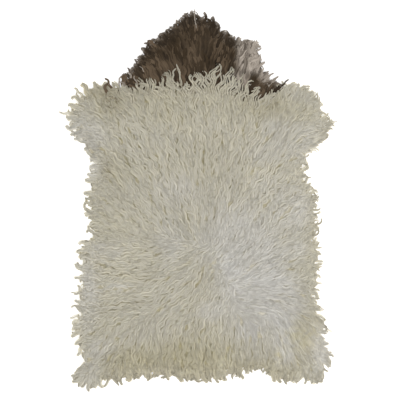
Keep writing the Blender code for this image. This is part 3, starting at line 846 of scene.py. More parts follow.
def node_ring(node):
    """The outline of a flat CAD node's underside, clockwise."""
    bm = bmesh.new()
    bm.from_mesh(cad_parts[node].data)
    bmesh.ops.remove_doubles(bm, verts=bm.verts, dist=SAME_PLACE)
    floor = min(v.co.z for v in bm.verts)
    low = {v for v in bm.verts if v.co.z < floor + SAME_HEIGHT}
    walls = {f for f in bm.faces if abs(f.normal.z) < 0.5}
    rim = {e for e in bm.edges if set(e.verts) <= low and not walls.isdisjoint(e.link_faces)}
    neighbours = {v: [e.other_vert(v) for e in v.link_edges if e in rim] for v in low}
    # the ring starts at the same place each run, whatever the order of the set
    first = before = min((v for v in low if neighbours[v]), key=lambda v: v.co.xy[:])
    here = neighbours[first][0]
    ring = [first.co.xy[:]]
    while here is not first:
        ring.append(here.co.xy[:])
        before, here = here, next(v for v in neighbours[here] if v is not before)
    bm.free()
    ring = np.array(ring)
    return ring[::-1] if signed_area(ring) > 0 else ring


WOOL_RING = smooth_ring(EDGE_POINTS, EDGE_STEP)
HIDE_RING = smooth_ring(node_ring("hide"), EDGE_STEP)
INSET = inset_field(WOOL_RING)
COMBED = combing_field()
HEIGHT = height_field()


def brown_at(points):
    """How far past the line between cream and brown each point lies, towards the neck."""
    line = np.array(BROWN_FROM)
    return points[..., 1] - np.interp(points[..., 0], line[:, 0], line[:, 1], left=1.0, right=1.0)


# ------------------------------------------------------------------------------------------ making the pieces


def add_piece(mesh, look):
    """A piece of the rug: an object at the origin that rides on the rug's one body."""
    piece = bpy.data.objects.new(mesh.name, mesh)
    bpy.context.scene.collection.objects.link(piece)
    mesh.materials.append(look)
    mesh.shade_smooth()
    mesh.set_sharp_from_angle(angle=SHARP_FROM)
    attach(piece, "root")
    return piece


def flat_sheet(ring, step):
    """A flat sheet of even triangles in the ring's outline."""
    half = 1.1 * np.abs(ring).max()
    columns = round(2 * half / step)
    bm = bmesh.new()
    bmesh.ops.create_grid(bm, x_segments=columns, y_segments=round(columns / ROW_SHARE), size=half)
    levels = sorted({round(v.co.y, 5) for v in bm.verts})
    shifted = set(levels[1::2])
    for v in bm.verts:
        if round(v.co.y, 5) in shifted:
            v.co.x += step / 2
    bmesh.ops.triangulate(bm, faces=bm.faces, quad_method="SHORT_EDGE")
    outside = [v for v, far in zip(bm.verts, inside_of(ring, bm)) if far < -REACH_OUT * step]
    bmesh.ops.delete(bm, geom=outside, context="VERTS")
    bmesh.ops.delete(bm, geom=[v for v in bm.verts if not v.link_faces], context="VERTS")
    rim = [v for v in bm.verts if v.is_boundary]
    feet, _ = nearest_on(ring, flat_places(rim))
    for v, foot in zip(rim, feet):
        v.co.xy = foot
    inner = [v for v in bm.verts if not v.is_boundary]
    for _ in range(2):
        bmesh.ops.smooth_vert(bm, verts=inner, factor=0.5, use_axis_x=True, use_axis_y=True)
    return bm


def flat_places(verts):
    return np.array([v.co.xy[:] for v in verts])


def inside_of(ring, bm, chunk=2000):
    """How far inside the ring each of the bmesh's points lies."""
    points = flat_places(bm.verts)
    chunks = [nearest_on(ring, points[i : i + chunk])[1] for i in range(0, len(points), chunk)]
    return np.concatenate(chunks)


def mesh_from(bm, name):
    mesh = bpy.data.meshes.new(name)
    bm.to_mesh(mesh)
    bm.free()
    return mesh


def make_hide(colours):
    """The tanned hide: a thin sheet, a little uneven, with its flesh side down."""
    bm = flat_sheet(HIDE_RING, HIDE_STEP)
    for v in bm.verts:
        v.co.z = HIDE_MIDDLE + HIDE_UNEVEN * noise.noise((14.0 * v.co.x, 14.0 * v.co.y, 3.0))
    piece = add_piece(mesh_from(bm, "hide_skin"), hide_look(colours))
    wall = piece.modifiers.new("thickness", "SOLIDIFY")
    wall.thickness = HIDE_THICK
    wall.offset = 0.0
    area = abs(signed_area(HIDE_RING))
    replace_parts(piece, "hide")


def make_underwool(settings, cream, brown):
    """The short dense wool over the hide, under the strands: a lumpy closed body of each colour."""
    underwool_part("underwool", False, settings, cream)
    underwool_part("underwool_neck", True, settings, brown)


def underwool_part(name, of_brown, settings, look):
    """The underwool on one side of the line between the colours."""
    bm = flat_sheet(HIDE_RING + outward(HIDE_RING) * UNDER_PAST, UNDER_STEP)
    middles = np.array([f.calc_center_median().xy[:] for f in bm.faces])
    other = (brown_at(middles) > 0.0) != of_brown
    bmesh.ops.delete(bm, geom=[f for f, leaves in zip(bm.faces, other) if leaves], context="FACES")
    flat = flat_places(bm.verts)
    share = settings.under_share
    heights = HEIGHT.at(flat) * (share + (PARTING_UNDER_SHARE - share) * by_parting(flat))
    for v, height in zip(bm.verts, heights):
        lumps = noise.noise((60.0 * v.co.x, 60.0 * v.co.y, 0.0))
        v.co.z = max(UNDER_LOWEST, height * (1.0 + UNDER_LUMPS * lumps))
    close_below(bm, UNDER_FLOOR)
    mesh = mesh_from(bm, name)
    flat = flat_places(mesh.vertices)
    numbers = colour_numbers(np.array([v.co[:] for v in mesh.vertices]))
    # less painted crevice shade on the underwool at the parting
    numbers["deep"] *= 1.0 - PARTING_LESS_SHADE * by_parting(flat)
    numbers["along"] = np.full(len(flat), 0.1)
    near_line = np.clip(1.0 - abs(brown_at(flat)) / UNDER_RUDDY, 0.0, 1.0)
    numbers["tone"] = 0.3 + 0.7 * near_line * of_brown
    numbers["faded"] *= 0.3
    numbers["ruddy"] = np.maximum(numbers["ruddy"], near_line)
    give_numbers(mesh, numbers)
    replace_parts(add_piece(mesh, look), "fleece")


def close_below(bm, floor):
    """Closes an open sheet with a skirt straight down to the floor's height, and with a flat underside."""
    rim = [e.link_loops[0] for e in bm.edges if e.is_boundary]
    foot = {v: bm.verts.new((v.co.x, v.co.y, floor)) for v in list(bm.verts) if v.is_boundary}
    for loop in rim:
        near, far = loop.vert, loop.link_loop_next.vert
        bm.faces.new((far, near, foot[near], foot[far]))
    bmesh.ops.holes_fill(bm, edges=[e for e in bm.edges if e.is_boundary])
    bmesh.ops.triangulate(bm, faces=[f for f in bm.faces if len(f.verts) > 4])
    bmesh.ops.recalc_face_normals(bm, faces=bm.faces)


def give_numbers(mesh, numbers):
    """Stores a number on each point of the mesh, under each name."""
    for name, values in numbers.items():
        store = mesh.attributes.new(name, "FLOAT", "POINT")
        store.data.foreach_set("value", np.ascontiguousarray(values, dtype=np.float32).ravel())


# ------------------------------------------------------------------------------------------------ the strands


class Locks:
    """Many locks of wool at once: an array for each thing in which they differ."""

    def __init__(self, roots, settings, rng):
        count = len(roots)
        self.count = count
        self.rng = rng
        self.root = roots
        self.length = settings.length * rng.uniform(*LENGTH_SHARES, count)
        self.turn = rng.normal(0.0, TURN_SPREAD, count)  # off the way the wool is combed
        self.hook = rng.normal(0.0, HOOK_SPREAD, count)  # how far the tip curls to the left
        self.wave = settings.wave * rng.uniform(*WAVE_SHARES, count)
        self.wave_length = settings.wave_length * rng.uniform(*WAVE_LENGTH_SHARES, count)
        self.phase = rng.uniform(0.0, tau, count)
        self.lift = rng.uniform(-1.0, 1.0, count)  # how high it lies in the wool
        self.width = settings.lock_width * rng.uniform(*WIDTH_SHARES, count)
        self.gather = np.full(count, 0.50)  # how much its strands draw together
        self.thick = np.full(count, settings.strand_width)
        self.tone = rng.uniform(0.0, 1.0, count)  # how light its strands are
        self.past_edge = rng.uniform(*PAST_EDGE, count)
        self.unlike = np.full(count, 0.30)  # how far its strands wave out of step
        self.scatter = np.full(count, 0.0020)  # how far its strands are shifted
        self.loose = np.zeros(count)  # how far it leaves the combing for its own way
        self.own_way = rng.uniform(0.0, tau, count)
        self.blunt = np.zeros(count)  # how blunt its strands' tips are

    def only(self, chosen):
        """The chosen locks alone."""
        return self.made_of(lambda key, values: values[chosen])

    def joined(self, other):
        """These locks and the others as one set."""
        return self.made_of(lambda key, values: np.concatenate([values, getattr(other, key)]))

    def made_of(self, change):
        """Other locks, whose arrays are what the change makes of these ones' names and values."""
        made = object.__new__(Locks)
        made.rng = self.rng
        for key, values in vars(self).items():
            if isinstance(values, np.ndarray):
                setattr(made, key, change(key, values))
        made.count = len(made.root)
        return made

    def give(self, **values):
        """Gives all the locks the same value of each of these names."""
        for key, value in values.items():
            getattr(self, key)[:] = value

    def scale(self, **factors):
        """Multiplies all the locks' values of each of these names."""
        for key, factor in factors.items():
            setattr(self, key, getattr(self, key) * factor)

    def centrelines(self):
        """Each lock's middle line, laid along the combing, station by station."""
        own = towards(self.own_way) * self.loose[:, None]
        place = self.root.copy()
        line = [place]
        for start, end in zip(STATIONS, STATIONS[1:]):
            way = COMBED.at(place)[:, :2] * (1 - self.loose[:, None]) + own
            curl = ramp(end, HOOK_FROM, 1 - HOOK_FROM) ** 1.3
            heading = heading_of(way) + self.turn + self.hook * curl
            place = place + ((end - start) * self.length)[:, None] * towards(heading)
            line.append(place)
        return np.stack(line, axis=1)

    def fit_to_edge(self):
        """Shortens the locks that would pass the wool's edge by more than they may."""
        for _ in range(2):
            self.shorten(-INSET.at(self.centrelines()) - self.past_edge[:, None])

    def fit_to_brown(self):
        """Shortens the cream locks that would lie too far over the brown."""
        limit = self.rng.uniform(*PAST_LINE, (self.count, 1))
        for _ in range(2):
            line = self.centrelines()
            by_neck = line[..., 1] > NECK_FROM
            self.shorten(np.where(by_neck, brown_at(line), -1.0) - limit)

    def shorten(self, past):
        """Ends each lock where it would be past its limit, given how far past it is at each station."""
        too_far = past > 0.0
        reached = np.where(too_far.any(1), too_far.argmax(1), len(STATIONS) - 1)
        rows = np.arange(self.count)
        earlier = np.maximum(reached - 1, 0)
        inside = -past[rows, earlier]
        outside = past[rows, reached]
        share = np.clip(inside / np.maximum(inside + outside, 0.0001), 0.0, 1.0)
        stop = STATIONS[earlier] + (STATIONS[reached] - STATIONS[earlier]) * share
        self.length = self.length * np.where(too_far.any(1), np.clip(stop, SHORTEST, 1.0), 1.0)


def strands_of(locks, settings):
    """The strands' middle lines, as (strands, stations, 3), and each strand's lock."""
    rng = locks.rng
    strands = settings.strands_in_lock
    line = locks.centrelines()
    square = left_of(unit(np.gradient(line, axis=1)))
    owner = np.repeat(np.arange(locks.count), strands)
    count = len(owner)
    slots = np.tile((np.arange(strands) + 0.5) / strands - 0.5, locks.count)
    apart = (slots + rng.uniform(-SLOT_JITTER, SLOT_JITTER, count)) * locks.width[owner]
    drawn_in = 1 - locks.gather[owner, None] * ramp(STATIONS, *DRAW_TOGETHER)[None]
    run = STATIONS[None] * locks.length[owner, None]
    waviness = COMBED.at(line)[..., 2][owner]
    phase = (locks.phase[owner] + rng.normal(0.0, 1.0, count) * locks.unlike[owner])[:, None]
    own_wave_length = locks.wave_length[owner] * rng.uniform(*STRAND_WAVE_LENGTH_SHARES, count)
    turns = tau * run / own_wave_length[:, None] + phase
    swing = locks.wave[owner, None] * waviness * ramp(STATIONS, *START_TO_WAVE)[None]
    across = apart[:, None] * drawn_in + swing * np.sin(turns)
    shift = rng.uniform(-1.0, 1.0, (count, 1, 2)) * locks.scatter[owner, None, None]
    place = line[owner] + square[owner] * across[..., None] + shift

    top = HEIGHT.at(place)
    rise = ramp(STATIONS, *RISE)
    rise = (rise * rise * (3 - 2 * rise))[None]
    lift = locks.lift[owner] * settings.lift + rng.uniform(-0.5, 0.5, count) * settings.lift
    under = np.maximum(settings.under_share * top - ROOT_SINKS, np.minimum(LOWEST_ROOT, top))
    height = under + (top + lift[:, None] * waviness**1.5 - under) * rise
    height += WAVE_RISES * swing * np.sin(turns + WAVE_RISE_PHASE)
    height -= TIP_SINKS * ramp(STATIONS, *DIP)[None]
    height = np.clip(height, FLOOR_CLEARANCE, HIGHEST - settings.strand_height)
    return np.concatenate([place, height[..., None]], axis=2), owner


def strand_mesh(name, lines, widths, heights, numbers):
    """One mesh of many three-sided strands, closed at the root and pointed at the tip, flat side down."""
    count, stations = lines.shape[:2]
    along = unit(np.gradient(lines, axis=1))
    side = unit(np.concatenate([left_of(along), np.zeros((count, stations, 1))], axis=2))
    up = np.cross(along, side)
    half = widths[..., None] / 2
    tall = heights[..., None]
    rings = np.stack([lines + side * half, lines + up * tall, lines - side * half], axis=2)[:, :-1]
    points = np.concatenate([rings.reshape(count, -1, 3), lines[:, -1:]], axis=1)
    points[..., 2] = np.maximum(points[..., 2], FLOOR_CLEARANCE)

    starts = (np.arange(count) * points.shape[1])[:, None, None]
    strips = strip_places(count)[:, None]
    faces, corners = strand_faces(stations - 1)
    listed, spots = [], []
    for part in (slice(None, -TRIANGLES), slice(-TRIANGLES, None)):
        one_strand = np.array(faces[part])
        listed += (starts + one_strand).reshape(-1, one_strand.shape[1]).tolist()
        spots.append((strips + np.array(corners[part]).reshape(-1, 2)).reshape(-1, 2))
    mesh = bpy.data.meshes.new(name)
    mesh.from_pydata(points.reshape(-1, 3), [], listed)
    mesh.uv_layers.new(name="OFBake")
    spots = np.concatenate(spots).astype(np.float32)
    mesh.uv_layers["OFBake"].uv.foreach_set("vector", spots.ravel())

    along = np.concatenate([np.repeat(STATIONS[:-1], CORNERS), STATIONS[-1:]])
    # crest: 1 on each ring's top corner, 0 on its two lower corners; the looks paint the top lighter and the
    # sides in shade
    crest = np.append(np.tile((0.0, 1.0, 0.0), stations - 1), 0.6)
    give_numbers(mesh, {"along": np.tile(along, count), "crest": np.tile(crest, count)})
    give_numbers(mesh, {key: on_points(value) for key, value in numbers.items()})
    return mesh


def on_points(values):
    """Numbers for all points of the strands, from one for each strand or one for each strand and station."""
    values = np.broadcast_to(values.reshape(len(values), -1), (len(values), len(STATIONS)))
    return np.concatenate([np.repeat(values[:, :-1], CORNERS, axis=1), values[:, -1:]], axis=1)


def strand_faces(rings):
    """The faces of one strand, and their corners' places in its strip: all quads, then all triangles."""
    wide = (STRIP_WIDE - 2.0) / MAP_PIXELS
    tall = (STRIP_LONG - 3.0) / MAP_PIXELS
    rows = STATIONS * tall
    sides = [(i, (i + 1) % CORNERS, wide * i / CORNERS, wide * (i + 1) / CORNERS) for i in range(CORNERS)]
    faces, corners = [], []
    for ring in range(rings - 1):
        low, high = ring * CORNERS, (ring + 1) * CORNERS
        bottom, top = rows[ring], rows[ring + 1]
        for i, j, left, right in sides:
            faces.append((low + j, low + i, high + i, high + j))
            corners.append(((right, bottom), (left, bottom), (left, top), (right, top)))
    last, tip = (rings - 1) * CORNERS, rings * CORNERS
    for i, j, left, right in sides:
        faces.append((last + j, last + i, tip))
        corners.append(((right, rows[-2]), (left, rows[-2]), ((left + right) / 2, rows[-1])))
    faces.append((0, 1, 2))
    corners.append(((0.0, 0.0), (wide / 2, -1.0 / MAP_PIXELS), (wide, 0.0)))
    return faces, corners


def strip_places(count):
    """The lower left corner of each strand's strip on the bake map."""
    columns = MAP_PIXELS // STRIP_WIDE
    rows = MAP_PIXELS // STRIP_LONG
    if count > columns * rows:
        raise ValueError(f"{count} strands don't fit on the map, which has {columns * rows} strips")
    index = np.arange(count)
    return np.column_stack([
        ((index % columns) * STRIP_WIDE + 1.0) / MAP_PIXELS,
        ((index // columns) * STRIP_LONG + 1.5) / MAP_PIXELS,
    ])


def grow(name, locks, settings, look, fixed=None):
    """A piece of wool from its locks. Fixed gives some of its colour numbers one value all over."""
    lines, owner = strands_of(locks, settings)
    rng = locks.rng
    widest = locks.thick[owner] * rng.uniform(*WIDTH_SHARES, len(lines))
    widths = widest[:, None] * (THIN_END + (BLUNT_END - THIN_END) * locks.blunt[owner, None])
    flatness = FLATTEST + (1.0 - FLATTEST) * COMBED.at(locks.root)[:, 2][owner, None]
    heights = widths * settings.strand_height / settings.strand_width * flatness
    tone = locks.tone[owner] + rng.uniform(-TONE_JITTER, TONE_JITTER, len(lines))
    tone = np.clip(tone, 0.0, 1.0)
    numbers = colour_numbers(lines)
    numbers["tone"] = tone
    numbers["faded"] *= 0.4 + 0.6 * tone[:, None]
    numbers["ruddy"] *= 0.5 + 0.5 * tone[:, None]
    numbers.update({key: np.full(len(lines), value) for key, value in (fixed or {}).items()})
    return add_piece(strand_mesh(name, lines, widths, heights, numbers), look)


def colour_numbers(points):
    """For each point: how deep it lies, how near the rim it is, and how much it is in each kind of patch."""
    flat = points[..., :2]
    depth = HEIGHT.at(flat) - points[..., 2]
    numbers = {kind: patches(kind, flat) for kind in PATCHES}
    numbers["deep"] = ramp(depth, DEEP_FROM, DEEP_AT - DEEP_FROM)
    numbers["rim"] = np.clip(1.0 - INSET.at(flat) / RIM_DEPTH, 0.0, 1.0)
    return numbers


def patches(kind, flat):
    """How much each point is in the patches of that kind, from 0 to 1."""
    total = np.zeros(flat.shape[:-1])
    for _, x, y, half_x, half_y, strength in PATCHES[kind]:
        far = np.hypot((flat[..., 0] - x) / half_x, (flat[..., 1] - y) / half_y)
        soft = np.clip(PATCH_REACH - far, 0.0, 1.0)
        total += strength * soft * soft * (3 - 2 * soft)
    return np.clip(total, 0.0, 1.0)


def scattered(spacing, rng):
    """Points over the whole grid, evenly apart but not in rows."""
    columns = np.arange(GRID_LOW[0], -GRID_LOW[0], spacing)
    rows = np.arange(GRID_LOW[1], -GRID_LOW[1], spacing * ROW_SHARE)
    x, y = np.meshgrid(columns, rows)
    x = x + (np.arange(len(rows)) % 2)[:, None] * spacing / 2
    points = np.column_stack([x.ravel(), y.ravel()])
    return points + rng.uniform(-ROOT_JITTER, ROOT_JITTER, points.shape) * spacing


# The cream wool of the body
BODY_INSET = 0.022  # how far inside the edge its outermost roots are
LINE_GAP = 0.004  # how far cream roots are from the line with the brown
BODY_TURN = 1.2  # how far its locks turn off the combing, against the usual
BY_TAIL = (0.29, 0.06)  # from this far below Y = 0, over this distance, it comes to lie in separate locks
TAIL_GATHER = 0.3  # how much more their strands draw together
TAIL_LIFT = 0.6  # how much more they lie over and under each other


def make_body_wool(settings, look):
    """The cream wool, band by band."""
    rng = np.random.default_rng(settings.seed)
    roots = scattered(settings.spacing, rng)
    roots = roots[(INSET.at(roots) > BODY_INSET) & (brown_at(roots) < -LINE_GAP)]
    locks = Locks(roots, settings, rng)
    for _ in range(2):
        locks = locks.joined(fill_thin(locks, settings, rng))
    unruly = COMBED.at(locks.root)[:, 2] ** 2
    locks.turn *= BODY_TURN * unruly
    locks.hook *= unruly
    near_tail = ramp(-locks.root[:, 1], *BY_TAIL)
    locks.gather += TAIL_GATHER * near_tail
    locks.lift *= 1.0 + TAIL_LIFT * near_tail
    locks.fit_to_edge()
    locks.fit_to_brown()
    y = locks.root[:, 1]
    top = np.inf
    for name, bottom in BODY_BANDS:
        grow(name, locks.only((y >= bottom) & (y < top)), settings, look)
        top = bottom


def by_parting(points):
    """1 on the parting, 0 at its reach and past it."""
    start, end = (np.array(point) for point in PARTING)
    share = np.clip((points - start) @ (end - start) / ((end - start) @ (end - start)), 0.0, 1.0)
    far = np.linalg.norm(points - (start + share[:, None] * (end - start)), axis=1)
    return np.clip(1.0 - far / PARTING_REACH, 0.0, 1.0)


# The locks that fill thin places, each laid so that the thin place is under its middle
THIN = 0.50  # a place covered by less than this share of the usual cover is thin
COVERED = 0.3  # and places covered by less than this don't count for the usual cover
COVER_FROM = 4  # the station from which on a lock covers the wool under it
FILLED_SHARE = 0.09  # share of the thin places that get a lock
FILL_INSET = 0.015  # how far inside the edge they must be
FILL_BACK = 0.45  # how far before its place a lock grows, as a share of the wool's length
FILL_TURN = radians(15)  # how unlike each other their headings are


def fill_thin(locks, settings, rng):
    """More locks for the places that the given ones cover thinly, as where the wool is combed apart."""
    cover = np.zeros((GRID_SIZE[1], GRID_SIZE[0]))
    spots = locks.centrelines()[:, COVER_FROM:].reshape(-1, 2)
    column, row = np.round((spots - np.array(GRID_LOW)) / GRID_STEP).astype(int).T
    inside = (column >= 0) & (column < GRID_SIZE[0]) & (row >= 0) & (row < GRID_SIZE[1])
    np.add.at(cover, (row[inside], column[inside]), 1.0)
    cover = smoothed(cover, 3)
    points = grid_points()
    thin = cover < THIN * np.median(cover[cover > COVERED])
    thin = thin & (INSET.values > FILL_INSET) & (brown_at(points) < 0.0)
    places = points[thin & (rng.uniform(0.0, 1.0, thin.shape) < FILLED_SHARE)]
    way = COMBED.at(places)[:, :2]
    fillers = Locks(places - way * settings.length * FILL_BACK, settings, rng)
    fillers.own_way = heading_of(way) + rng.normal(0.0, FILL_TURN, len(places))
    fillers.give(loose=0.95)
    fillers.scale(length=0.9, lift=0.4)
    return fillers.only((INSET.at(fillers.root) > FILL_INSET) & (brown_at(fillers.root) < -LINE_GAP))


# The long locks over the border between the colours. Two numbers are the lowest and the highest of a range.
BORDER_ROOTS = (0.012, 0.045)  # how far before the line they grow
BORDER_SHORT = (0.0, 0.030)  # how far short of the tops they end
BORDER_RISE = 0.025  # the least that they rise up
BORDER_SLACK = 1.04  # how much longer they are than the way they go
BORDER_TURN = radians(4)
BORDER_HOOK = radians(40)
BORDER_WAVE = (0.0034, 0.0062)
BORDER_WAVE_LENGTH = (0.038, 0.044)
BORDER_PHASE = (34.0, 0.6)  # radians for each metre along X, so that neighbours wave alike, and their spread
BORDER_THICK = (0.0036, 0.0050)
BORDER_LIFT = (0.5, 2.4)
# the border locks get the brownish specks, partly painted shade between them, and no painted sheen
BORDER_COLOURS = {"sooty": 0.6, "clean": 0.0, "dirty": 0.1}


def make_border_wool(settings, look):
    """The long wavy cream locks that lie over the brown where the neck begins."""
    rng = np.random.default_rng(settings.seed + 3)
    line = np.array(BROWN_FROM)
    tops = np.array(BORDER_TOPS)
    x = np.arange(tops[0, 0], tops[-1, 0], settings.border_spacing)
    x = np.concatenate([x, x + settings.border_spacing / 2])
    y = np.interp(x, line[:, 0], line[:, 1]) - rng.uniform(*BORDER_ROOTS, len(x))
    locks = Locks(np.column_stack([x, y]), settings, rng)
    way = COMBED.at(locks.root)
    top = np.interp(x, tops[:, 0], tops[:, 1]) - rng.uniform(*BORDER_SHORT, len(x))
    locks.length = np.maximum(top - y, BORDER_RISE) / way[:, 1] * BORDER_SLACK
    locks.root[:, 0] -= 0.5 * locks.length * way[:, 0]  # so that the middles are evenly apart
    locks.turn = rng.normal(0.0, BORDER_TURN, locks.count)
    locks.hook = rng.normal(0.0, BORDER_HOOK, locks.count)
    locks.wave = rng.uniform(*BORDER_WAVE, locks.count)
    locks.wave_length = rng.uniform(*BORDER_WAVE_LENGTH, locks.count)
    locks.phase = BORDER_PHASE[0] * x + rng.normal(0.0, BORDER_PHASE[1], locks.count)
    locks.thick = rng.uniform(*BORDER_THICK, locks.count)
    locks.lift = rng.uniform(*BORDER_LIFT, locks.count)
    locks.give(width=0.016, gather=0.35, unlike=0.2)
    locks.fit_to_edge()
    grow("wool_border", locks, settings, look, BORDER_COLOURS)


# The brown wool of the neck
NECK_SPACING = 0.92  # spacing of its locks, against the usual
NECK_INSET = 0.018  # how far inside the edge its outermost roots are
NECK_PAST = (-0.020, 0.0)  # how far past the line with the cream a root is at least: drawn from this range


def make_neck_wool(settings, look):
    """The brown wool of the neck."""
    rng = np.random.default_rng(settings.seed + 1)
    roots = scattered(settings.spacing * NECK_SPACING, rng)
    roots = roots[(INSET.at(roots) > NECK_INSET) & (brown_at(roots) > rng.uniform(*NECK_PAST, len(roots)))]
    locks = Locks(roots, settings, rng)
    locks.scale(wave=0.8, lift=0.8, thick=0.9)
    locks.fit_to_edge()
    grow("wool_neck", locks, settings, look)


# The locks around the rim. Two numbers are the lowest and the highest of a range.
RIM_SQUARE = 0.6  # how far they turn square to the edge, against 1 for the combing
RIM_ROOTS = (0.035, 0.060)  # how far inside the edge they grow
RIM_SHIFT = (-0.5, 0.5)  # how far they stand off their even places, as a share of the spacing
RIM_SLACK = 0.022  # how much longer they are at least than the way to the edge
RIM_LENGTH_SHARES = (1.0, 1.3)
RIM_TURN = radians(14)
RIM_HOOK = radians(60)
RIM_SHORT = -0.009  # how far past the edge the shortest ones end
RIM_RAGGED = 0.012  # how much further than the usual reach the longest ones end, where the rim is ragged
RIM_WIDTH = 0.6  # width of a lock, against the usual
RIM_NARROWER = 0.2  # and how much less that is where the rim is ragged
THIN_STRANDS = 0.75  # width of the strands that are thinner than the usual
BROWN_RIM_FROM = 0.25  # the brown wool's rim lies above this Y
BROWN_HOOK = 1.3  # how far the brown tips curl, against the cream ones
BROWN_REACH = 0.8  # and how far they pass the edge


def make_rim_wool(settings, cream, brown):
    """The locks around the rim, which end at the wool's edge."""
    rng = np.random.default_rng(settings.seed + 2)
    ring = smooth_ring(EDGE_POINTS, settings.rim_spacing)
    ring = np.concatenate([ring, ring])
    count = len(ring)
    way = unit(RIM_SQUARE * outward(ring) + COMBED.at(ring)[:, :2])
    depth = rng.uniform(*RIM_ROOTS, count)
    side = left_of(way) * rng.uniform(*RIM_SHIFT, count)[:, None]
    roots = ring - way * depth[:, None] + side * settings.rim_spacing
    locks = Locks(roots, settings, rng)
    wanted = heading_of(way) - heading_of(COMBED.at(roots))
    locks.turn = heading_of(towards(wanted)) + rng.normal(0.0, RIM_TURN, count)
    locks.hook = rng.normal(0.0, RIM_HOOK, count)
    locks.length = (depth + RIM_SLACK) * rng.uniform(*RIM_LENGTH_SHARES, count)
    ragged = raggedness(roots)
    locks.past_edge = rng.uniform(RIM_SHORT, settings.rim_past + RIM_RAGGED * ragged, count)
    locks.width *= RIM_WIDTH - RIM_NARROWER * ragged
    locks.give(gather=0.7, unlike=0.25, scatter=0.002)
    is_brown = (brown_at(roots) > -LINE_GAP) & (roots[:, 1] > BROWN_RIM_FROM)
    locks.hook *= np.where(is_brown, BROWN_HOOK, 1.0)
    locks.thick *= np.where(is_brown, THIN_STRANDS, 1.0)
    locks.past_edge *= np.where(is_brown, BROWN_REACH, 1.0)
    locks.blunt = np.where(is_brown, 0.0, bluntness(roots))
    locks.thick *= THIN_STRANDS + (1.0 - THIN_STRANDS) * np.where(is_brown, 1.0, locks.blunt)
    locks.fit_to_edge()
    grow("wool_rim", locks.only(~is_brown), settings, cream)
    grow("wool_neck_rim", locks.only(is_brown), settings, brown)


def raggedness(points):
    """0 to 1: most at the sides, more on the left than on the right, and 0 where the wool is straight."""
    x, y = points.T
    ragged = np.clip(4.0 * abs(x) - 0.2, 0.0, 1.0) * np.where(x < 0.0, 1.0, 0.55)
    ragged = np.where(y < -0.4, np.maximum(ragged, 0.5), ragged)
    return ragged * np.clip(2.5 * COMBED.at(points)[:, 2] - 1.0, 0.0, 1.0)


def bluntness(points):
    """1 where the rim's locks end bluntly, on the left and at the tail, and near 0 on the right."""
    x, y = points.T
    return np.clip(np.maximum(0.9 - 3.5 * x, (-0.40 - y) / 0.05), 0.1, 1.0)


TIP_WIDTH = 2.6  # width of a single tip's lock, against its strands
# The colour numbers in which each kind of tip differs from the wool around it
TIP_KINDS = {
    "cream": {"sooty": 0.0},
    "brown": {"rim": 1.0, "faded": 0.0, "ruddy": 0.0},
    "pale": {"rim": 0.0, "faded": 1.0, "ruddy": 0.0},
    "red": {"rim": 0.0, "faded": 0.0, "ruddy": 1.0, "tone": 1.0},
}


def make_tips(settings, cream, brown):
    """The locks of the table of tips, each laid so that it ends where the table says."""
    rng = np.random.default_rng(settings.seed + 4)
    kinds = np.array([kind for _, kind, *rows in TIPS for row in rows])
    rows = np.array([row for _, _, *rows in TIPS for row in rows])
    ends = rows[:, :2]
    locks = Locks(np.zeros_like(ends), settings, rng)
    locks.own_way, locks.hook = np.radians(rows[:, 2:4]).T
    locks.length, locks.thick = rows[:, 4:6].T
    locks.width = locks.thick * TIP_WIDTH
    locks.give(loose=1.0, turn=0.0, gather=0.45, unlike=0.2, scatter=0.001, tone=0.5, lift=1.5)
    locks.scale(wave=0.55, wave_length=0.8)
    locks.root = ends - locks.centrelines()[:, -1]
    is_cream = kinds == "cream"
    locks.blunt = np.where(is_cream, bluntness(ends), 0.5)
    locks.scale(thick=THIN_STRANDS + (1.0 - THIN_STRANDS) * np.where(is_cream, locks.blunt, 1.0))
    for kind, fixed in TIP_KINDS.items():
        look, slot = (cream, "cream_wool") if kind == "cream" else (brown, "brown_wool")
        grow(f"tips_{kind}", locks.only(kinds == kind), settings, look, fixed)


# -------------------------------------------------------------------------------------------------- materials


def fibres(look):
    """Fine fibres along the strand, as bump."""
    lines = look.stretched(look.strip_map(), (620.0, 60.0, 1.0))
    return look.bump(look.noise(lines, scale=1.0), strength=0.35, distance=0.0005)


def cream_colour(look, colours):
    """The cream wool's colour: patches of four kinds, among them painted sheen and brownish specks with
    painted shade, olive painted shade on each strand's sides and where it lies deep, and darker at the rim as
    painted shade.
    """
    where = look.place()
    # painted sheen: lighter, cooler cream in the sheen patches
    colour = look.mix(look.attribute("clean"), colours.cream, colours.cream_clean)
    colour = look.mix(look.attribute("dirty"), colour, colours.cream_dirty)
    blotches = look.between(look.noise(where, scale=55.0), low=0.30, high=0.62)
    colour = look.mix(look.attribute("stained") * (0.3 + blotches * 0.7), colour, colours.stain)
    clouds = look.between(look.noise(where, scale=9.0, detail=3.0), low=0.35, high=0.65)
    colour = look.mix(clouds * 0.25, colour, colours.cream_dirty)
    # the painted shade below is weaker in the painted sheen and on the stains
    bright = look.attribute("clean") + look.attribute("stained")
    # painted shade: olive on each strand's two lower sides, against its lit top corner (crest), and where the
    # wool lies deep
    side = (1 - look.attribute("crest")) * 0.45 + look.attribute("deep") * 0.5
    colour = look.mix(side * (1 - bright * 0.7), colour, colours.cream_deep)
    # brownish specks, stronger on the strands' sides than on their tops: partly brown wool, partly painted
    # shade in the crevices
    specks = look.between(look.noise(where, scale=120.0), low=0.45, high=0.62)
    speck_shade_share = look.attribute("sooty") * (0.35 + specks * 0.65) * (1 - look.attribute("crest") * 0.75)
    colour = look.mix(speck_shade_share, colour, colours.sooty)
    # painted shade: darker cream at the rim, more where the wool is dirty
    return look.mix(look.attribute("rim") * (0.1 + look.attribute("dirty") * 0.5), colour, colours.cream_rim)


# Light is carried a little way through the cream wool
SOFT_LIGHT = {"Subsurface Weight": 0.6, "Subsurface Radius": (1.0, 1.0, 1.0), "Subsurface Scale": 0.006}


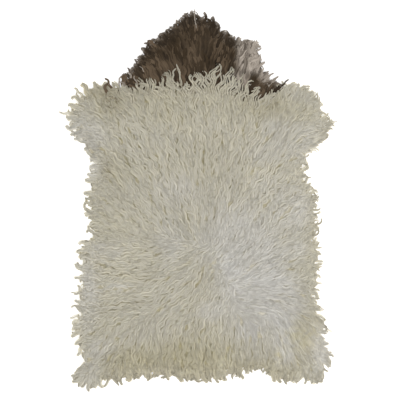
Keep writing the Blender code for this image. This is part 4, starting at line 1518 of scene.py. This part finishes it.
def cream_look(colours):
    look = Look("cream wool")
    shade = 0.93 + look.attribute("tone") * 0.09
    return look.finish({
        "Base Color": look.shaded(cream_colour(look, colours), shade),
        "Roughness": 0.72 + look.noise(look.place(), scale=90.0) * 0.2,
        "Normal": fibres(look),
        "Sheen Weight": 0.15,
        "Sheen Roughness": 0.5,
        "Specular IOR Level": 0.25,
        **SOFT_LIGHT,
    })


def underwool_look(colours):
    """The dense underwool between the locks, in short soft curls, darkened throughout as painted shade, with
    the olive side shade all over since it has no crests.
    """
    look = Look("underwool")
    curls = look.noise(look.place(), scale=130.0, detail=3.0, roughness=0.6)
    # painted shade: the underwool is darker, as in the gaps between the locks
    shade = 0.76 + look.between(curls, low=0.3, high=0.7) * 0.16
    return look.finish({
        "Base Color": look.shaded(cream_colour(look, colours), shade),
        "Roughness": 0.8 + curls * 0.15,
        "Normal": look.bump(curls, strength=0.5, distance=0.002),
        "Specular IOR Level": 0.2,
        **SOFT_LIGHT,
    })


def brown_look(colours):
    look = Look("brown wool")
    along = look.attribute("along")
    tone = look.attribute("tone")
    where = look.place()
    # lighter towards the tip, and lighter on each strand's top corner (crest) as a painted highlight
    height = look.between(along, low=0.1, high=0.9) * (0.6 + look.attribute("crest") * 0.4)
    colour = look.mix(height, colours.brown_root, colours.brown_tip)
    streak = look.between(look.noise(where, scale=25.0), low=0.30, high=0.60)
    colour = look.mix(streak * look.between(tone, low=0.35, high=1.0) * 0.8, colour, colours.brown_ruddy)
    colour = look.mix(look.attribute("ruddy") * (0.3 + tone * 0.7), colour, colours.brown_ruddy)
    colour = look.mix(look.attribute("rim") * 0.5, colour, colours.brown_root)
    bleached = look.attribute("rim") * look.between(along, low=0.65, high=1.0) * (0.3 + tone * 0.5)
    faded = look.attribute("faded") * (0.45 + tone * 0.55)
    colour = look.mix(faded + bleached, colour, colours.brown_faded)
    return look.finish({
        "Base Color": colour,
        "Roughness": 0.62 + look.noise(where, scale=90.0) * 0.2,
        "Normal": fibres(look),
        "Sheen Weight": 0.02,
        "Sheen Roughness": 0.5,
        "Specular IOR Level": 0.15,
    })


def hide_look(colours):
    look = Look("tanned hide")
    where = look.place()
    darker = [0.8 * part for part in colours.hide]
    lighter = [1.25 * part for part in colours.hide]
    cloudy = look.noise(where, scale=6.0, detail=4.0, roughness=0.6)
    colour = look.mix(look.between(cloudy, low=0.35, high=0.7), colours.hide, darker)
    nap = look.noise(where, scale=420.0, detail=3.0, roughness=0.7)
    colour = look.mix(look.between(nap, low=0.4, high=0.8) * 0.35, colour, lighter)
    return look.finish({
        "Base Color": colour,
        "Roughness": 0.78 + nap * 0.15,
        "Normal": look.bump(nap + cloudy * 2.0, strength=0.6, distance=0.0008),
        "Sheen Weight": 0.2,
        "Specular IOR Level": 0.3,
    })


def floor_look(colours, glow):
    look = Look("floor")
    grain = look.noise(look.place(), scale=30.0, detail=3.0)
    return look.finish({
        "Base Color": look.mix(grain * 0.04, colours.floor, [0.97 * part for part in colours.floor]),
        "Roughness": 0.85,
        "Specular IOR Level": 0.1,
        "Emission Color": (1.0, 1.0, 1.0, 1.0),
        "Emission Strength": glow,
    })


# ------------------------------------------------------------------------------------------------------ stage


LAMP_PLACE = (0.9, -0.7, 2.5)
LAMP_SIZE = 1.6
SENSOR_WIDTH = 36.0  # millimetres
SEEN_UP_TO = 50.0  # how far from itself the camera sees


def make_stage(stage, colours):
    """The floor, the light and the camera straight above the rug."""
    bm = bmesh.new()
    bmesh.ops.create_grid(bm, x_segments=1, y_segments=1, size=stage.floor_side / 2)
    floor = bpy.data.objects.new("floor", mesh_from(bm, "floor"))
    floor.data.materials.append(floor_look(colours, stage.floor_glow))
    bpy.context.scene.collection.objects.link(floor)

    world = bpy.data.worlds.new("soft room")
    world.use_nodes = True
    sky = next(n for n in world.node_tree.nodes if n.type == "BACKGROUND")
    sky.inputs["Color"].default_value = (1.0, 1.0, 1.0, 1.0)
    sky.inputs["Strength"].default_value = stage.dome_light
    bpy.context.scene.world = world

    light = bpy.data.lights.new("soft lamp", "AREA")
    light.energy = stage.lamp_power
    light.shape = "DISK"
    light.size = LAMP_SIZE
    lamp = bpy.data.objects.new("soft lamp", light)
    lamp.location = LAMP_PLACE
    lamp.rotation_euler = Vector(LAMP_PLACE).to_track_quat("Z", "Y").to_euler()
    bpy.context.scene.collection.objects.link(lamp)

    eye = bpy.data.cameras.new("camera")
    eye.sensor_width = SENSOR_WIDTH
    eye.lens = SENSOR_WIDTH * stage.eye_height / stage.view_width
    eye.clip_end = SEEN_UP_TO
    camera = bpy.data.objects.new("camera", eye)
    camera.location = (stage.eye_x, stage.eye_y, stage.eye_height)
    bpy.context.scene.collection.objects.link(camera)
    bpy.context.scene.camera = camera
    bpy.context.scene.view_settings.view_transform = "Standard"


# -------------------------------------------------------------------------------------------------- operators


def shared_look(name, make, colours):
    """The material of that name, made when it is first asked for."""
    return bpy.data.materials.get(name) or make(colours)


class RUG_OT_hide(bpy.types.Operator):
    """Lay the tanned hide on the floor"""

    bl_idname = "rug.hide"
    bl_label = "Hide"

    def execute(self, context):
        make_hide(context.scene.rug_colours)
        return {"FINISHED"}


class RUG_OT_underwool(bpy.types.Operator):
    """Cover the hide with its short dense underwool"""

    bl_idname = "rug.underwool"
    bl_label = "Underwool"

    def execute(self, context):
        colours = context.scene.rug_colours
        brown = shared_look("brown wool", brown_look, colours)
        make_underwool(context.scene.rug_wool, underwool_look(colours), brown)
        return {"FINISHED"}


class RUG_OT_body_wool(bpy.types.Operator):
    """Grow the cream wool from the shoulders to the tail"""

    bl_idname = "rug.body_wool"
    bl_label = "Cream wool"

    def execute(self, context):
        colours = context.scene.rug_colours
        make_body_wool(context.scene.rug_wool, shared_look("cream wool", cream_look, colours))
        return {"FINISHED"}


class RUG_OT_neck_wool(bpy.types.Operator):
    """Grow the brown wool of the neck"""

    bl_idname = "rug.neck_wool"
    bl_label = "Brown neck wool"

    def execute(self, context):
        colours = context.scene.rug_colours
        make_neck_wool(context.scene.rug_wool, shared_look("brown wool", brown_look, colours))
        return {"FINISHED"}


class RUG_OT_border_wool(bpy.types.Operator):
    """Lay the long wavy cream locks over the edge of the brown"""

    bl_idname = "rug.border_wool"
    bl_label = "Border locks"

    def execute(self, context):
        colours = context.scene.rug_colours
        make_border_wool(context.scene.rug_wool, shared_look("cream wool", cream_look, colours))
        return {"FINISHED"}


class RUG_OT_rim_wool(bpy.types.Operator):
    """Lay the curled locks around the rim"""

    bl_idname = "rug.rim_wool"
    bl_label = "Rim locks"

    def execute(self, context):
        colours = context.scene.rug_colours
        cream = shared_look("cream wool", cream_look, colours)
        brown = shared_look("brown wool", brown_look, colours)
        make_rim_wool(context.scene.rug_wool, cream, brown)
        return {"FINISHED"}


class RUG_OT_tips(bpy.types.Operator):
    """Lay the single locks whose tips stand apart"""

    bl_idname = "rug.tips"
    bl_label = "Single tips"

    def execute(self, context):
        colours = context.scene.rug_colours
        cream = shared_look("cream wool", cream_look, colours)
        brown = shared_look("brown wool", brown_look, colours)
        make_tips(context.scene.rug_wool, cream, brown)
        return {"FINISHED"}


class RUG_OT_stage(bpy.types.Operator):
    """Set up the floor, the light and the camera"""

    bl_idname = "rug.stage"
    bl_label = "Stage"

    def execute(self, context):
        make_stage(context.scene.rug_stage, context.scene.rug_colours)
        return {"FINISHED"}


OPERATORS = (
    RUG_OT_hide,
    RUG_OT_underwool,
    RUG_OT_body_wool,
    RUG_OT_neck_wool,
    RUG_OT_border_wool,
    RUG_OT_rim_wool,
    RUG_OT_tips,
    RUG_OT_stage,
)


class RUG_PT_panel(bpy.types.Panel):
    """A button for each operator, and the sizes and colours they go by"""

    bl_idname = "RUG_PT_panel"
    bl_label = "Sheepskin rug"
    bl_space_type = "VIEW_3D"
    bl_region_type = "UI"
    bl_category = "Rug"

    def draw(self, context):
        for operator in OPERATORS:
            self.layout.operator(operator.bl_idname)
        for group in (context.scene.rug_wool, context.scene.rug_colours, context.scene.rug_stage):
            for name in type(group).__annotations__:
                self.layout.prop(group, name)


GROUPS = (RugWool, RugColours, RugStage)


def register():
    for group in (*GROUPS, *OPERATORS, RUG_PT_panel):
        bpy.utils.register_class(group)
    bpy.types.Scene.rug_wool = bpy.props.PointerProperty(type=RugWool)
    bpy.types.Scene.rug_colours = bpy.props.PointerProperty(type=RugColours)
    bpy.types.Scene.rug_stage = bpy.props.PointerProperty(type=RugStage)


def unregister():
    del bpy.types.Scene.rug_stage
    del bpy.types.Scene.rug_colours
    del bpy.types.Scene.rug_wool
    for group in reversed((*GROUPS, *OPERATORS, RUG_PT_panel)):
        bpy.utils.unregister_class(group)


def main():
    register()
    bpy.ops.rug.stage()
    bpy.ops.rug.hide()
    bpy.ops.rug.underwool()
    bpy.ops.rug.body_wool()
    bpy.ops.rug.neck_wool()
    bpy.ops.rug.border_wool()
    bpy.ops.rug.rim_wool()
    bpy.ops.rug.tips()


if __name__ == "__main__":
    main()
